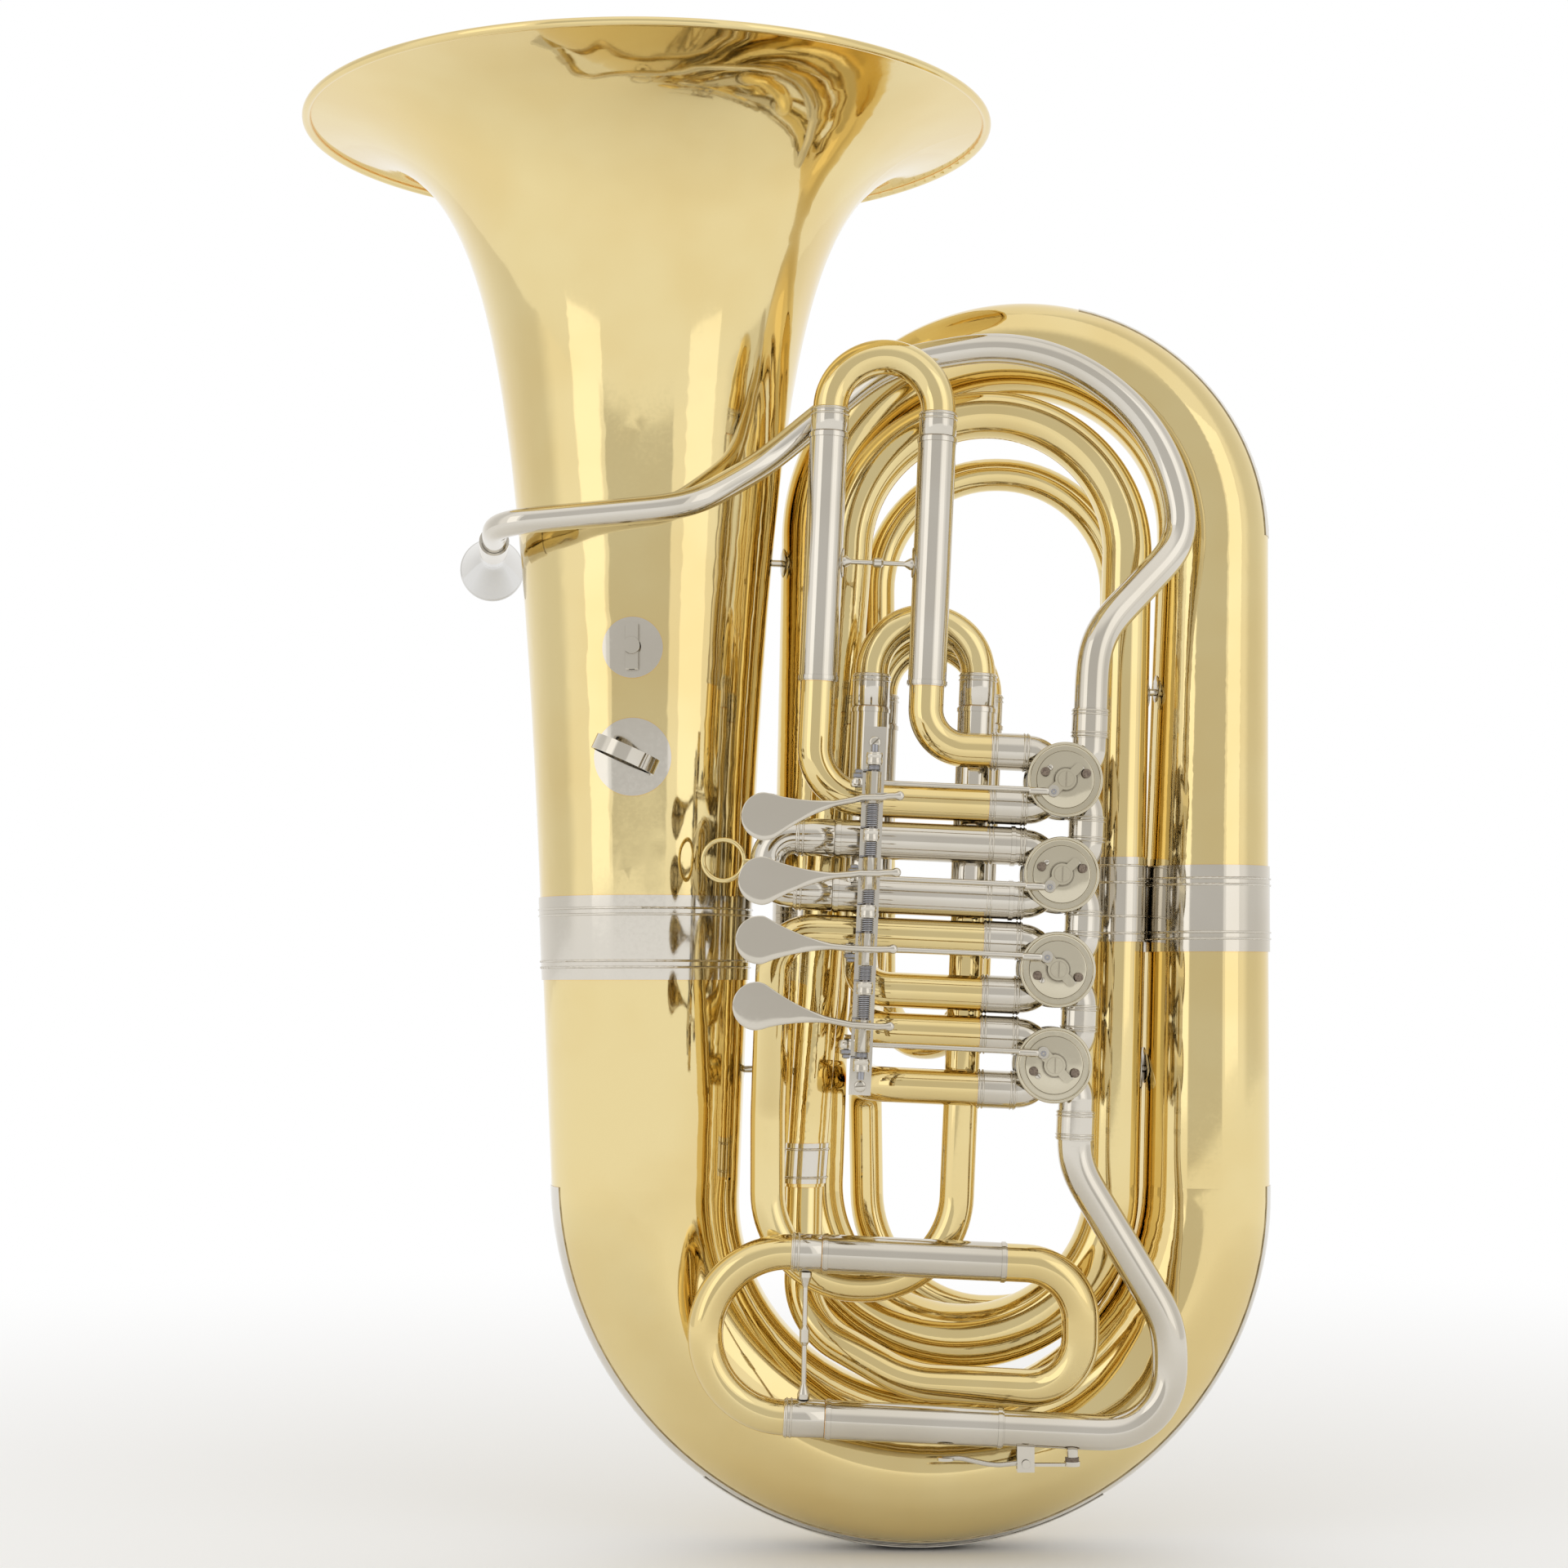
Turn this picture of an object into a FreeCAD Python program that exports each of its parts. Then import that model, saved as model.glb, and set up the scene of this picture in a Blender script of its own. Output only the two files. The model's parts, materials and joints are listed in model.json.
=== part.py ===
"""Rotary tuba with four valves, in millimetres, +Z up, bell opening upwards.

X = 0 is the middle of the big bottom bow, Y = 0 the plane of the bell axis, and Z = 0 the lowest
point of the bottom guard. The valves face -Y. Every driving dimension is a cell of the sheet
"Sizes". The valve cluster has a frame of its own, which leans a little to the right.
"""
import FreeCAD
import Part
import math
import os
from FreeCAD import Placement, Rotation, Vector

DOC = FreeCAD.newDocument("tuba")

SIZES = {
    # bell: radius grows as a horn law from the throat to the rim
    "bell_axis_x": -170, "bell_foot_z": 366, "bell_rim_z": 870, "throat_radius": 62.4,
    "throat_depth": 529, "horn_offset": 14.2, "horn_power": 0.335, "bell_wall": 0.8,
    "rim_bead_radius": 2.6,
    # conical branch: bow centres, bow radii and bore radii (outside of the metal)
    "big_bow_z": 216.97, "big_bow_radius": 169.5, "big_bow_start": 57.2, "big_bow_middle": 46,
    "big_bow_end": 40, "outer_leg_foot_z": 384, "outer_leg_foot_radius": 38,
    "top_bow_x": 59, "top_bow_z": 612.6, "top_bow_radius": 120, "top_bow_start": 34,
    "top_bow_middle": 29.4, "top_bow_end": 25.8, "top_bow_rear_y": 25,
    "small_bow_x": 20, "small_bow_radius": 92, "small_bow_start": 23, "small_bow_middle": 19.6,
    "small_bow_end": 16.5, "inner_branch_y": -15, "inner_bow_x": 39.5, "inner_bow_z": 602,
    "inner_bow_radius": 85, "inner_bow_start": 15, "inner_bow_end": 14, "second_leg_x": -73,
    "second_leg_end": 12, "feed_radius": 11, "branch_wall": 0.7,
    # cylindrical tubing of the valves
    "tube_radius": 10.25, "tube_wall": 0.6, "sleeve_radius": 11.25, "sleeve_bore": 10.3,
    # valve cluster
    "cluster_x": 74.4, "cluster_y": -80, "cluster_z": 374.3, "cluster_lean": 2.6,
    "valve_pitch": 55.2, "port_offset": 15.9, "main_offset": 15, "knuckle_bend": 12,
    "casing_radius": 20.5, "casing_bore": 18.5, "casing_half": 14.5, "plate_radius": 22,
    "plate_depth": 1.5, "rotor_radius": 18.45, "rotor_front": -14.2, "rotor_back": 11.4,
    "passage_radius": 8.2, "passage_bend": 24, "passage_centre": 33.2, "stem_radius": 4,
    "stem_bore": 4.05, "bearing_radius": 18.45, "cap_inner": 20.6, "cap_outer": 22.2,
    # stop work and linkage
    "pin_offset": 10.3, "pin_radius": 2, "rod_radius": 1.5,
    "axle_shift": -112.3, "axle_depth": -53.3, "axle_radius": 2, "horn_length": 30,
    "horn_angle": -16, "stud_radius": 1.5, "eye_radius": 3.4, "eye_half": 2,
    # lever hubs: height of each hub, link rod and finger plate in the cluster's frame
    "hub_half": 9, "outer_hub": 70.5, "inner_hub": 21.5, "outer_rod": 75.5, "inner_rod": 20.3,
    "paddle_radius": 13.6, "paddle_neck": 2.2, "paddle_length": 39, "paddle_x": -173,
    "paddle_thickness": 2, "paddle_depth": -58.5,
    # slides
    "slide_one_left": -146, "slide_one_right": -82, "slide_one_foot": 135,
    "slide_one_head": 283, "slide_one_out": 15, "slide_two_mouth": -132, "slide_two_out": 23,
    "slide_three_y": -55, "slide_three_foot": 385, "slide_three_head": 503,
    "slide_three_left": -33.8, "slide_three_right": 29.6, "slide_three_out": 20,
    "slide_four_y": -30, "slide_four_foot": 385, "slide_four_head": 495,
    "slide_four_left": -27.6, "slide_four_right": 35.6, "slide_four_out": 18,
    "main_slide_x": -83.5, "main_slide_z": 135.8, "main_slide_half": 47.5,
    "main_slide_tilt": 2.7, "main_slide_out": 18, "main_sleeve_end": 125,
    "slide_leg_depth": 85, "loop_y": 40,
    # fittings on the bell: thumb screw, hand ring and their round plates
    "fitting_x": -175, "fitting_plate": 1.2, "lyre_z": 537, "lyre_plate": 18, "lyre_depth": 9.2,
    "lyre_width": 7.4, "lyre_height": 27, "lyre_square": 3.4, "lyre_screw_bore": 1.85,
    "lyre_screw_stem": 1.8, "lyre_screw_head": 4.8, "ring_z": 472.4, "ring_plate": 23,
    "ring_bore": 18.2, "ring_outer": 20, "ring_width": 9, "ring_turn": 24, "ring_lift": 20.2,
    # braces between the branches: height of each post
    "brace_one_z": 600, "brace_two_z": 286.4, "brace_three_z": 516.4, "brace_four_z": 287.4,
    "brace_radius": 2.2,
    # water key
    "key_pad_x": 81, "key_pivot_x": 54, "key_pivot_z": 62.6, "key_tip_x": 6, "key_pin": 1.2,
    "key_pin_bore": 1.25, "key_hub": 3, "key_cork": 4, "key_cup": 4.6, "key_cork_gap": 0.1,
    "nipple_radius": 3.4, "nipple_bore": 2.2,
    # trims
    "guard_gap": 0.05, "guard_depth": 0.6, "guard_spread": 28, "rail_depth": 0.6,
    "ferrule_depth": 1, "bead_radius": 0.7,
}

SHEET = DOC.addObject("Spreadsheet::Sheet", "Sizes")
for row, (alias, value) in enumerate(SIZES.items(), 1):
    SHEET.set("A%d" % row, alias)
    SHEET.set("B%d" % row, str(value))
    SHEET.setAlias("B%d" % row, alias)
DOC.recompute()

NODES = []
X_AXIS, Y_AXIS, Z_AXIS = Vector(1, 0, 0), Vector(0, 1, 0), Vector(0, 0, 1)


def size(alias):
    """One driving dimension, read from the sheet."""
    return float(SHEET.get(alias))


CLUSTER = Placement(
    Vector(size("cluster_x"), size("cluster_y"), size("cluster_z")),
    Rotation(Y_AXIS, size("cluster_lean")),
)
MAIN_SLIDE = Placement(
    Vector(size("main_slide_x"), size("cluster_y"), size("main_slide_z")),
    Rotation(Y_AXIS, size("main_slide_tilt")),
)
TUBE = size("tube_radius")
TUBE_WALL = size("tube_wall")
SLEEVE = size("sleeve_radius")
SLEEVE_BORE = size("sleeve_bore")
BRANCH_WALL = size("branch_wall")


def here(x, y, z):
    """A point given in the valve cluster's frame, with y measured from the tube plane."""
    return CLUSTER.multVec(Vector(x, y, z))


def slide_point(x, z):
    """A point given in the main tuning slide's frame."""
    return MAIN_SLIDE.multVec(Vector(x, 0, z))


def keep(obj, label):
    """Label a document object as a sub-part that is written out."""
    obj.Label = label
    NODES.append(obj)
    return obj


def keep_shape(label, shape):
    """A sub-part whose shape is worked out by code, such as a bent or tapered tube."""
    obj = DOC.addObject("Part::Feature", label)
    obj.Shape = shape
    return keep(obj, label)


def keep_group(label, shapes):
    """Several separate solids of one kind in a single sub-part."""
    return keep_shape(label, Part.makeCompound(shapes))


# ---------------------------------------------------------------- tubes

def disc_wire(centre, normal, radius):
    return Part.Wire(Part.Circle(centre, normal, radius).toShape())


def bent_wire(points, bends):
    """Straight runs joined by tangent arcs; bends holds one radius per inner point."""
    edges = []
    last = points[0]
    for corner, before, after, radius in zip(points[1:-1], points[:-2], points[2:], bends):
        back = (before - corner).normalize()
        ahead = (after - corner).normalize()
        half = back.getAngle(ahead) / 2
        run = radius / math.tan(half)
        middle = (back + ahead).normalize()
        start = corner + back * run
        end = corner + ahead * run
        crown = corner + middle * (radius / math.sin(half) - radius)
        if (start - last).Length > 0.01:
            edges.append(Part.LineSegment(last, start).toShape())
        edges.append(Part.Arc(start, crown, end).toShape())
        last = end
    if (points[-1] - last).Length > 0.01:
        edges.append(Part.LineSegment(last, points[-1]).toShape())
    return Part.Wire(edges)


def bent_rod(points, bends, radius):
    """Solid round bar along a bent wire."""
    wire = bent_wire(points, bends)
    start = (points[1] - points[0]).normalize()
    return wire.makePipe(Part.Face(disc_wire(points[0], start, radius)))


def bent_tube(points, bends, radius=TUBE, wall=TUBE_WALL):
    """Thin tube of one diameter along a bent wire."""
    return single(bent_rod(points, bends, radius).cut(bent_rod(points, bends, radius - wall)))


def single(shape):
    """The one solid inside a compound, or the shape as it is."""
    return shape.Solids[0] if len(shape.Solids) == 1 else shape


def straight_tube(start, end, radius, bore):
    """Straight tube between two points."""
    axis = end - start
    outer = Part.makeCylinder(radius, axis.Length, start, axis)
    return outer.cut(Part.makeCylinder(bore, axis.Length, start, axis))


def tapered_rod(points, bends, first, last):
    """Solid bar along a bent wire: cones on the straight runs, even bends between them."""
    edges = bent_wire(points, bends).OrderedEdges
    straight = sum(edge.Length for edge in edges if not isinstance(edge.Curve, Part.Circle))
    radius = first
    pieces = []
    for edge in edges:
        start = edge.valueAt(edge.FirstParameter)
        along = edge.tangentAt(edge.FirstParameter)
        if isinstance(edge.Curve, Part.Circle):
            pieces.append(Part.Wire(edge).makePipe(Part.Face(disc_wire(start, along, radius))))
            continue
        wider = radius + (last - first) * edge.Length / straight
        pieces.append(Part.makeCone(radius, wider, edge.Length, start, along))
        radius = wider
    return pieces[0].multiFuse(pieces[1:]).removeSplitter()


def tapered_tube(points, bends, first, last, wall):
    outer = tapered_rod(points, bends, first, last)
    return single(outer.cut(tapered_rod(points, bends, first - wall, last - wall)))


def level_circle(x, y, z, radius):
    return disc_wire(Vector(x, y, z), Z_AXIS, radius)


def leg(foot, head, foot_radius, head_radius, wall=BRANCH_WALL):
    """Slightly leaning conical leg whose two ends are level."""
    def solid(inset):
        ends = [level_circle(*foot, foot_radius - inset), level_circle(*head, head_radius - inset)]
        return Part.makeLoft(ends, True, True)
    return solid(0).cut(solid(wall))


def blend(start, middle, end, share):
    """Quadratic through three values at shares 0, 1/2 and 1."""
    return (start * (1 - share) * (1 - 2 * share) + middle * 4 * share * (1 - share)
            + end * share * (2 * share - 1))


def bow_sections(centre, bow_radius, turn, radii, depths, make, steps=10):
    """Sections round a half-circle bow; turn is +1 over the top and -1 round the bottom."""
    sections = []
    for step in range(steps + 1):
        share = step / steps
        angle = math.pi * share
        side = -turn * math.cos(angle) * (1 if turn < 0 else -1)
        outward = Vector(side * -1 if turn < 0 else side, 0, turn * math.sin(angle))
        ease = share * share * (3 - 2 * share)
        depth = depths[0] + (depths[1] - depths[0]) * ease
        point = Vector(centre[0], depth, centre[1]) + outward * bow_radius
        along = Y_AXIS.cross(outward)
        sections.append(make(point, outward, along, blend(*radii, share)))
    return sections


def bow_solid(centre, bow_radius, turn, radii, depths, inset=0.0):
    """Solid bow: bottom bows run left to right, top bows right to left."""
    def section(point, outward, along, radius):
        return disc_wire(point, along, radius - inset)
    return Part.makeLoft(bow_sections(centre, bow_radius, turn, radii, depths, section), True)


def bow(centre, bow_radius, turn, radii, depths, wall=BRANCH_WALL):
    outer = bow_solid(centre, bow_radius, turn, radii, depths)
    return single(outer.cut(bow_solid(centre, bow_radius, turn, radii, depths, wall)))


def collar(foot, head, foot_radius, head_radius, beads=(), depth=None):
    """Conical ring that sits on a leg, with raised beads at the given shares of its height."""
    depth = size("ferrule_depth") if depth is None else depth
    ring = leg(foot, head, foot_radius + depth, head_radius + depth, depth - 0.05)
    low, high = Vector(*foot), Vector(*head)
    for share in beads:
        centre = low + (high - low) * share
        radius = foot_radius + (head_radius - foot_radius) * share + depth
        ring = ring.fuse(Part.makeTorus(radius, size("bead_radius"), centre, Z_AXIS))
    core = [level_circle(*foot, foot_radius + 0.05), level_circle(*head, head_radius + 0.05)]
    return single(ring.cut(Part.makeLoft(core, True, True)))


# ---------------------------------------------------------------- primitives bound to the sheet

def bound(kind, name, placement=None, **expressions):
    """A Part primitive whose sizes follow the sheet, such as Radius='tube_radius'."""
    obj = DOC.addObject(kind, name)
    for key, text in expressions.items():
        obj.setExpression(key, text)
    obj.Placement = placement or Placement()
    return obj


def cylinder(name, radius, height, placement):
    """Cylinder along the placement's own Z."""
    return bound("Part::Cylinder", name, placement, Radius=radius, Height=height)


def boolean(kind, name, base, tool):
    obj = DOC.addObject(kind, name)
    obj.Base = base
    obj.Tool = tool
    return obj


def cut(name, base, tool):
    return boolean("Part::Cut", name, base, tool)


def fuse(name, shapes):
    obj = DOC.addObject("Part::MultiFuse", name)
    obj.Shapes = shapes
    return obj


def gather(name, parts):
    """Compound of separate solids."""
    obj = DOC.addObject("Part::Compound", name)
    obj.Links = parts
    return obj


def local(x, y, z, axis=Y_AXIS):
    """Placement in the cluster's frame whose own Z lies along the given cluster axis."""
    return CLUSTER.multiply(Placement(Vector(x, y, z), Rotation(Z_AXIS, axis)))


# ---------------------------------------------------------------- bell

def horn_radius(height):
    """Outside radius of the bell at a height, from the horn law."""
    depth = size("bell_rim_z") - height
    reach = size("horn_offset")
    span = size("throat_depth") + reach
    return size("throat_radius") * (span / (depth + reach)) ** size("horn_power")


def bell_heights():
    """Heights that crowd towards the rim, where the flare turns fastest."""
    foot, rim = size("bell_foot_z"), size("bell_rim_z")
    steps = 14
    return [rim - (rim - foot) * (1 - step / steps) ** 2.2 for step in range(steps + 1)]


def bell_outline(inset):
    """Points of the bell wall, moved inwards along its normal."""
    points = []
    for height in bell_heights():
        slope = (horn_radius(height) - horn_radius(height - 0.1)) / 0.1
        scale = inset / math.hypot(1, slope)
        points.append(Vector(horn_radius(height) - scale, 0, height + scale * slope))
    return points


def build_bell():
    """Thin spun horn with a wire bead rolled into its rim."""
    body = DOC.addObject("PartDesign::Body", "BellBody")
    sketch = body.newObject("Sketcher::SketchObject", "BellWall")
    plane = [item for item in body.Origin.OriginFeatures if item.Role == "XZ_Plane"][0]
    sketch.AttachmentSupport = [(plane, "")]
    sketch.MapMode = "FlatFace"
    curves = []
    for inset in (0, size("bell_wall")):
        curve = Part.BSplineCurve()
        curve.interpolate([Vector(point.x, point.z, 0) for point in bell_outline(inset)])
        curves.append(curve)
    outer, inner = curves
    sketch.addGeometry(outer, False)
    sketch.addGeometry(inner, False)
    sketch.addGeometry(Part.LineSegment(outer.StartPoint, inner.StartPoint), False)
    sketch.addGeometry(Part.LineSegment(outer.EndPoint, inner.EndPoint), False)
    turned = body.newObject("PartDesign::Revolution", "BellTurned")
    turned.Profile = sketch
    turned.ReferenceAxis = (sketch, ["V_Axis"])
    turned.Angle = 360
    body.Placement = Placement(Vector(size("bell_axis_x"), 0, 0), Rotation())
    rim = bell_outline(0)[-1]
    bead = bound("Part::Torus", "RimBead", Placement(Vector(size("bell_axis_x"), 0, rim.z - 1),
                 Rotation()), Radius2="Sizes.rim_bead_radius")
    bead.Radius1 = rim.x - 1
    keep(fuse("Bell", [body, bead]), "bell")


# ---------------------------------------------------------------- conical branch

def build_branch():
    z_big, z_top, z_inner = size("big_bow_z"), size("top_bow_z"), size("inner_bow_z")
    front, rear = size("inner_branch_y"), size("top_bow_rear_y")
    bell_x, big = size("bell_axis_x"), size("big_bow_radius")
    foot_z = size("bell_foot_z")
    big_radii = (size("big_bow_start"), size("big_bow_middle"), size("big_bow_end"))
    joint_z = size("outer_leg_foot_z")
    joint_x = big + 3
    joint = size("outer_leg_foot_radius")
    stub = leg((-big, 0, z_big), (bell_x, 0, foot_z), big_radii[0], horn_radius(foot_z))
    half = bow((0, z_big), big, -1, big_radii, (0, 0))
    right = leg((big, 0, z_big), (joint_x, 0, joint_z), big_radii[2], joint)
    keep_shape("bottom_bow", single(stub.fuse([half, right]).removeSplitter()))

    top_x, top = size("top_bow_x"), size("top_bow_radius")
    top_radii = (size("top_bow_start"), size("top_bow_middle"), size("top_bow_end"))
    keep_shape("outer_leg", leg((joint_x, 0, joint_z), (top_x + top, 0, z_top), joint, top_radii[0]))
    keep_shape("outer_top_bow", bow((top_x, z_top), top, 1, top_radii, (0, rear)))

    small_x, small = size("small_bow_x"), size("small_bow_radius")
    small_radii = (size("small_bow_start"), size("small_bow_middle"), size("small_bow_end"))
    left_head = (top_x - top, rear, z_top)
    left_foot = (small_x - small, rear, z_big)
    keep_shape("inner_left_leg", leg(left_foot, left_head, small_radii[0], top_radii[2]))
    keep_shape("small_bottom_bow", bow((small_x, z_big), small, -1, small_radii, (rear, front)))

    inner_x, inner = size("inner_bow_x"), size("inner_bow_radius")
    starts, ends = size("inner_bow_start"), size("inner_bow_end")
    right_foot = (small_x + small, front, z_big)
    right_head = (inner_x + inner, front, z_inner)
    keep_shape("inner_right_leg", leg(right_foot, right_head, small_radii[2], starts))
    inner_radii = (starts, (starts + ends) / 2, ends)
    keep_shape("inner_top_bow", bow((inner_x, z_inner), inner, 1, inner_radii, (front, front)))

    second_foot = (size("second_leg_x"), front, z_big)
    second_head = (inner_x - inner, front, z_inner)
    keep_shape("second_left_leg", leg(second_foot, second_head, size("second_leg_end"), ends))
    feed = size("feed_radius")
    sleeve_end = slide_point(size("main_sleeve_end"), size("main_slide_half"))
    turn_top = slide_point(size("main_sleeve_end") + 43, size("main_slide_half"))
    route = [Vector(*second_foot), Vector(-75, -30, 138), Vector(-12, -52, 105),
             Vector(turn_top.x, -76, 103), turn_top, sleeve_end]
    keep_shape("slide_feed_bow", bent_tube(route, [44, 70, 31, 33], feed, TUBE_WALL))

    def on_leg(low, high, low_radius, high_radius, z):
        share = (z - low[2]) / (high[2] - low[2])
        point = [a + (b - a) * share for a, b in zip(low, high)]
        return tuple(point), low_radius + (high_radius - low_radius) * share

    def band(low, high, low_radius, high_radius, z_low, z_high, beads):
        foot, foot_radius = on_leg(low, high, low_radius, high_radius, z_low)
        head, head_radius = on_leg(low, high, low_radius, high_radius, z_high)
        return collar(foot, head, foot_radius, head_radius, beads)

    stub_ends = ((-big, 0, z_big), (bell_x, 0, foot_z), big_radii[0], horn_radius(foot_z))
    lower = band(*stub_ends, foot_z - 25, foot_z, (0.3, 0.45))
    upper = collar((bell_x, 0, foot_z), (bell_x, 0, foot_z + 25), horn_radius(foot_z),
                   horn_radius(foot_z + 25), (0.55, 0.7))
    leg_ends = ((big, 0, z_big), (joint_x, 0, joint_z), big_radii[2], joint)
    outer_ends = ((joint_x, 0, joint_z), (top_x + top, 0, z_top), joint, top_radii[0])
    rings = [
        single(lower.fuse(upper)),
        single(band(*leg_ends, joint_z - 26, joint_z, (0.3, 0.45)).fuse(
            band(*outer_ends, joint_z, joint_z + 26, (0.55, 0.7)))),
        band(left_foot, left_head, small_radii[0], top_radii[2], 366, 396, (0.15, 0.85)),
        band(right_foot, right_head, small_radii[2], starts, 364, 415, (0.1, 0.3, 0.7, 0.9)),
        band(second_foot, second_head, size("second_leg_end"), ends, 219, 243, (0.15, 0.85)),
    ]
    keep_group("branch_ferrules", rings)


# ---------------------------------------------------------------- valves

def valve_height(number):
    """Height of a valve's axis in the cluster's frame; valve 1 is the highest."""
    return (1.5 - number) * size("valve_pitch")


def knuckle(side, up, valve, reach):
    """Port stub: straight run, 45 degree bend and short run into the casing wall.

    side is -1 for the slide ports on the left and +1 for the main ports, up is +1 or -1.
    """
    centre = valve_height(valve)
    offset = size("port_offset") if side < 0 else size("main_offset")
    corner = here(side * offset, 0, centre + up * offset)
    inward = here(side * 3, 0, centre + up * 3)
    if side < 0:
        far = here(reach, 0, centre + up * offset)
    else:
        far = here(offset, 0, reach)
    return far, corner, inward


def knuckle_tube(points):
    bends = [size("knuckle_bend")] * (len(points) - 2)
    return bent_tube(points, bends), bent_rod(points, bends, TUBE)


def casing_core(valve):
    """Solid the size of a valve casing, used to trim the tubes that meet it."""
    start = here(0, -size("casing_half"), valve_height(valve))
    axis = here(0, 1, 0) - here(0, 0, 0)
    return Part.makeCylinder(size("casing_radius"), 2 * size("casing_half"), start, axis)


def build_knuckles():
    """All port stubs of the valves, and the holes that they leave in the casings."""
    tubes, holes = [], []
    cores = [casing_core(valve) for valve in range(4)]
    lower, upper = -size("main_offset"), size("main_offset")
    runs = []
    for valve in range(4):
        for up in (1, -1):
            runs.append((knuckle(-1, up, valve, -26), [valve]))
    head = valve_height(0) + 30
    foot = valve_height(3) - 30
    runs.append((knuckle(1, 1, 0, head), [0]))
    runs.append((knuckle(1, -1, 3, foot), [3]))
    for valve in range(3):
        first = knuckle(1, -1, valve, 0)
        second = knuckle(1, 1, valve + 1, 0)
        runs.append(((first[2], first[1], second[1], second[2]), [valve, valve + 1]))
    for points, valves in runs:
        tube, rod = knuckle_tube(list(points))
        for valve in valves:
            tube = tube.cut(cores[valve])
        tubes.append(single(tube))
        holes.append(rod)
    keep_group("valve_knuckles", tubes)
    return holes


def build_casings(holes):
    """Four casings: tube with a front plate, four port holes and a bore for the stem."""
    port_holes = DOC.addObject("Part::Feature", "PortHoles")
    port_holes.Shape = Part.makeCompound(holes)
    for valve in range(4):
        name = "Casing%d" % (valve + 1)
        z = valve_height(valve)
        half = size("casing_half")
        wall = cylinder(name + "Wall", "Sizes.casing_radius", "2 * Sizes.casing_half",
                        local(0, -half, z))
        plate = cylinder(name + "Plate", "Sizes.plate_radius", "Sizes.plate_depth",
                         local(0, -half - size("plate_depth"), z))
        room = cylinder(name + "Room", "Sizes.casing_bore", "2 * Sizes.casing_half",
                        local(0, -half, z))
        stem = cylinder(name + "StemBore", "Sizes.stem_bore", "2 * Sizes.plate_depth",
                        local(0, -half - 1.5 * size("plate_depth"), z))
        hollow = cut(name + "Hollow", cut(name + "Bored", fuse(name + "Solid", [wall, plate]), room),
                     stem)
        keep(cut(name, hollow, port_holes), "valve_casing_%d" % (valve + 1))


def build_rotors():
    """Rotors with two curved passages, on stems that reach through both bearings."""
    for valve in range(4):
        name = "Rotor%d" % (valve + 1)
        z = valve_height(valve)
        drum = cylinder(name + "Drum", "Sizes.rotor_radius", "Sizes.rotor_back - Sizes.rotor_front",
                        local(0, size("rotor_front"), z))
        front = -size("casing_half") - size("plate_depth") - 4.3
        stem = cylinder(name + "Stem", "Sizes.stem_radius", "15.5 + 20.3", local(0, front, z))
        solid = fuse(name + "Solid", [drum, stem])
        for side in (-1, 1):
            passage = bound("Part::Torus", "%sPassage%d" % (name, side + 2),
                            local(side * size("passage_centre"), 0, z),
                            Radius1="Sizes.passage_bend", Radius2="Sizes.passage_radius")
            solid = cut("%sCut%d" % (name, side + 2), solid, passage)
        keep(solid, "rotor_%d" % (valve + 1))


def build_rear_parts():
    """Rear bearing plates inside the casings and the screwed caps that cover them."""
    plates, caps = [], []
    for valve in range(4):
        z = valve_height(valve)
        name = "Rear%d" % (valve + 1)
        disc = cylinder(name + "Disc", "Sizes.bearing_radius", "2.6", local(0, 11.8, z))
        bore = cylinder(name + "Bore", "Sizes.stem_bore", "4", local(0, 11, z))
        plates.append(cut(name + "Plate", disc, bore))
        cup = cylinder(name + "Cup", "Sizes.cap_outer", "7.5", local(0, 10.8, z))
        room = cylinder(name + "Room", "Sizes.cap_inner", "6", local(0, 10.7, z))
        caps.append(cut(name + "Cap", cup, room))
    keep(gather("RearParts", plates + caps), "rear_bearings_and_caps")


def pin_side(valve):
    """-1 where the pin sits below the valve's axis at rest (valves 1 and 2), +1 above it."""
    return -1 if valve < 2 else 1


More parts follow.
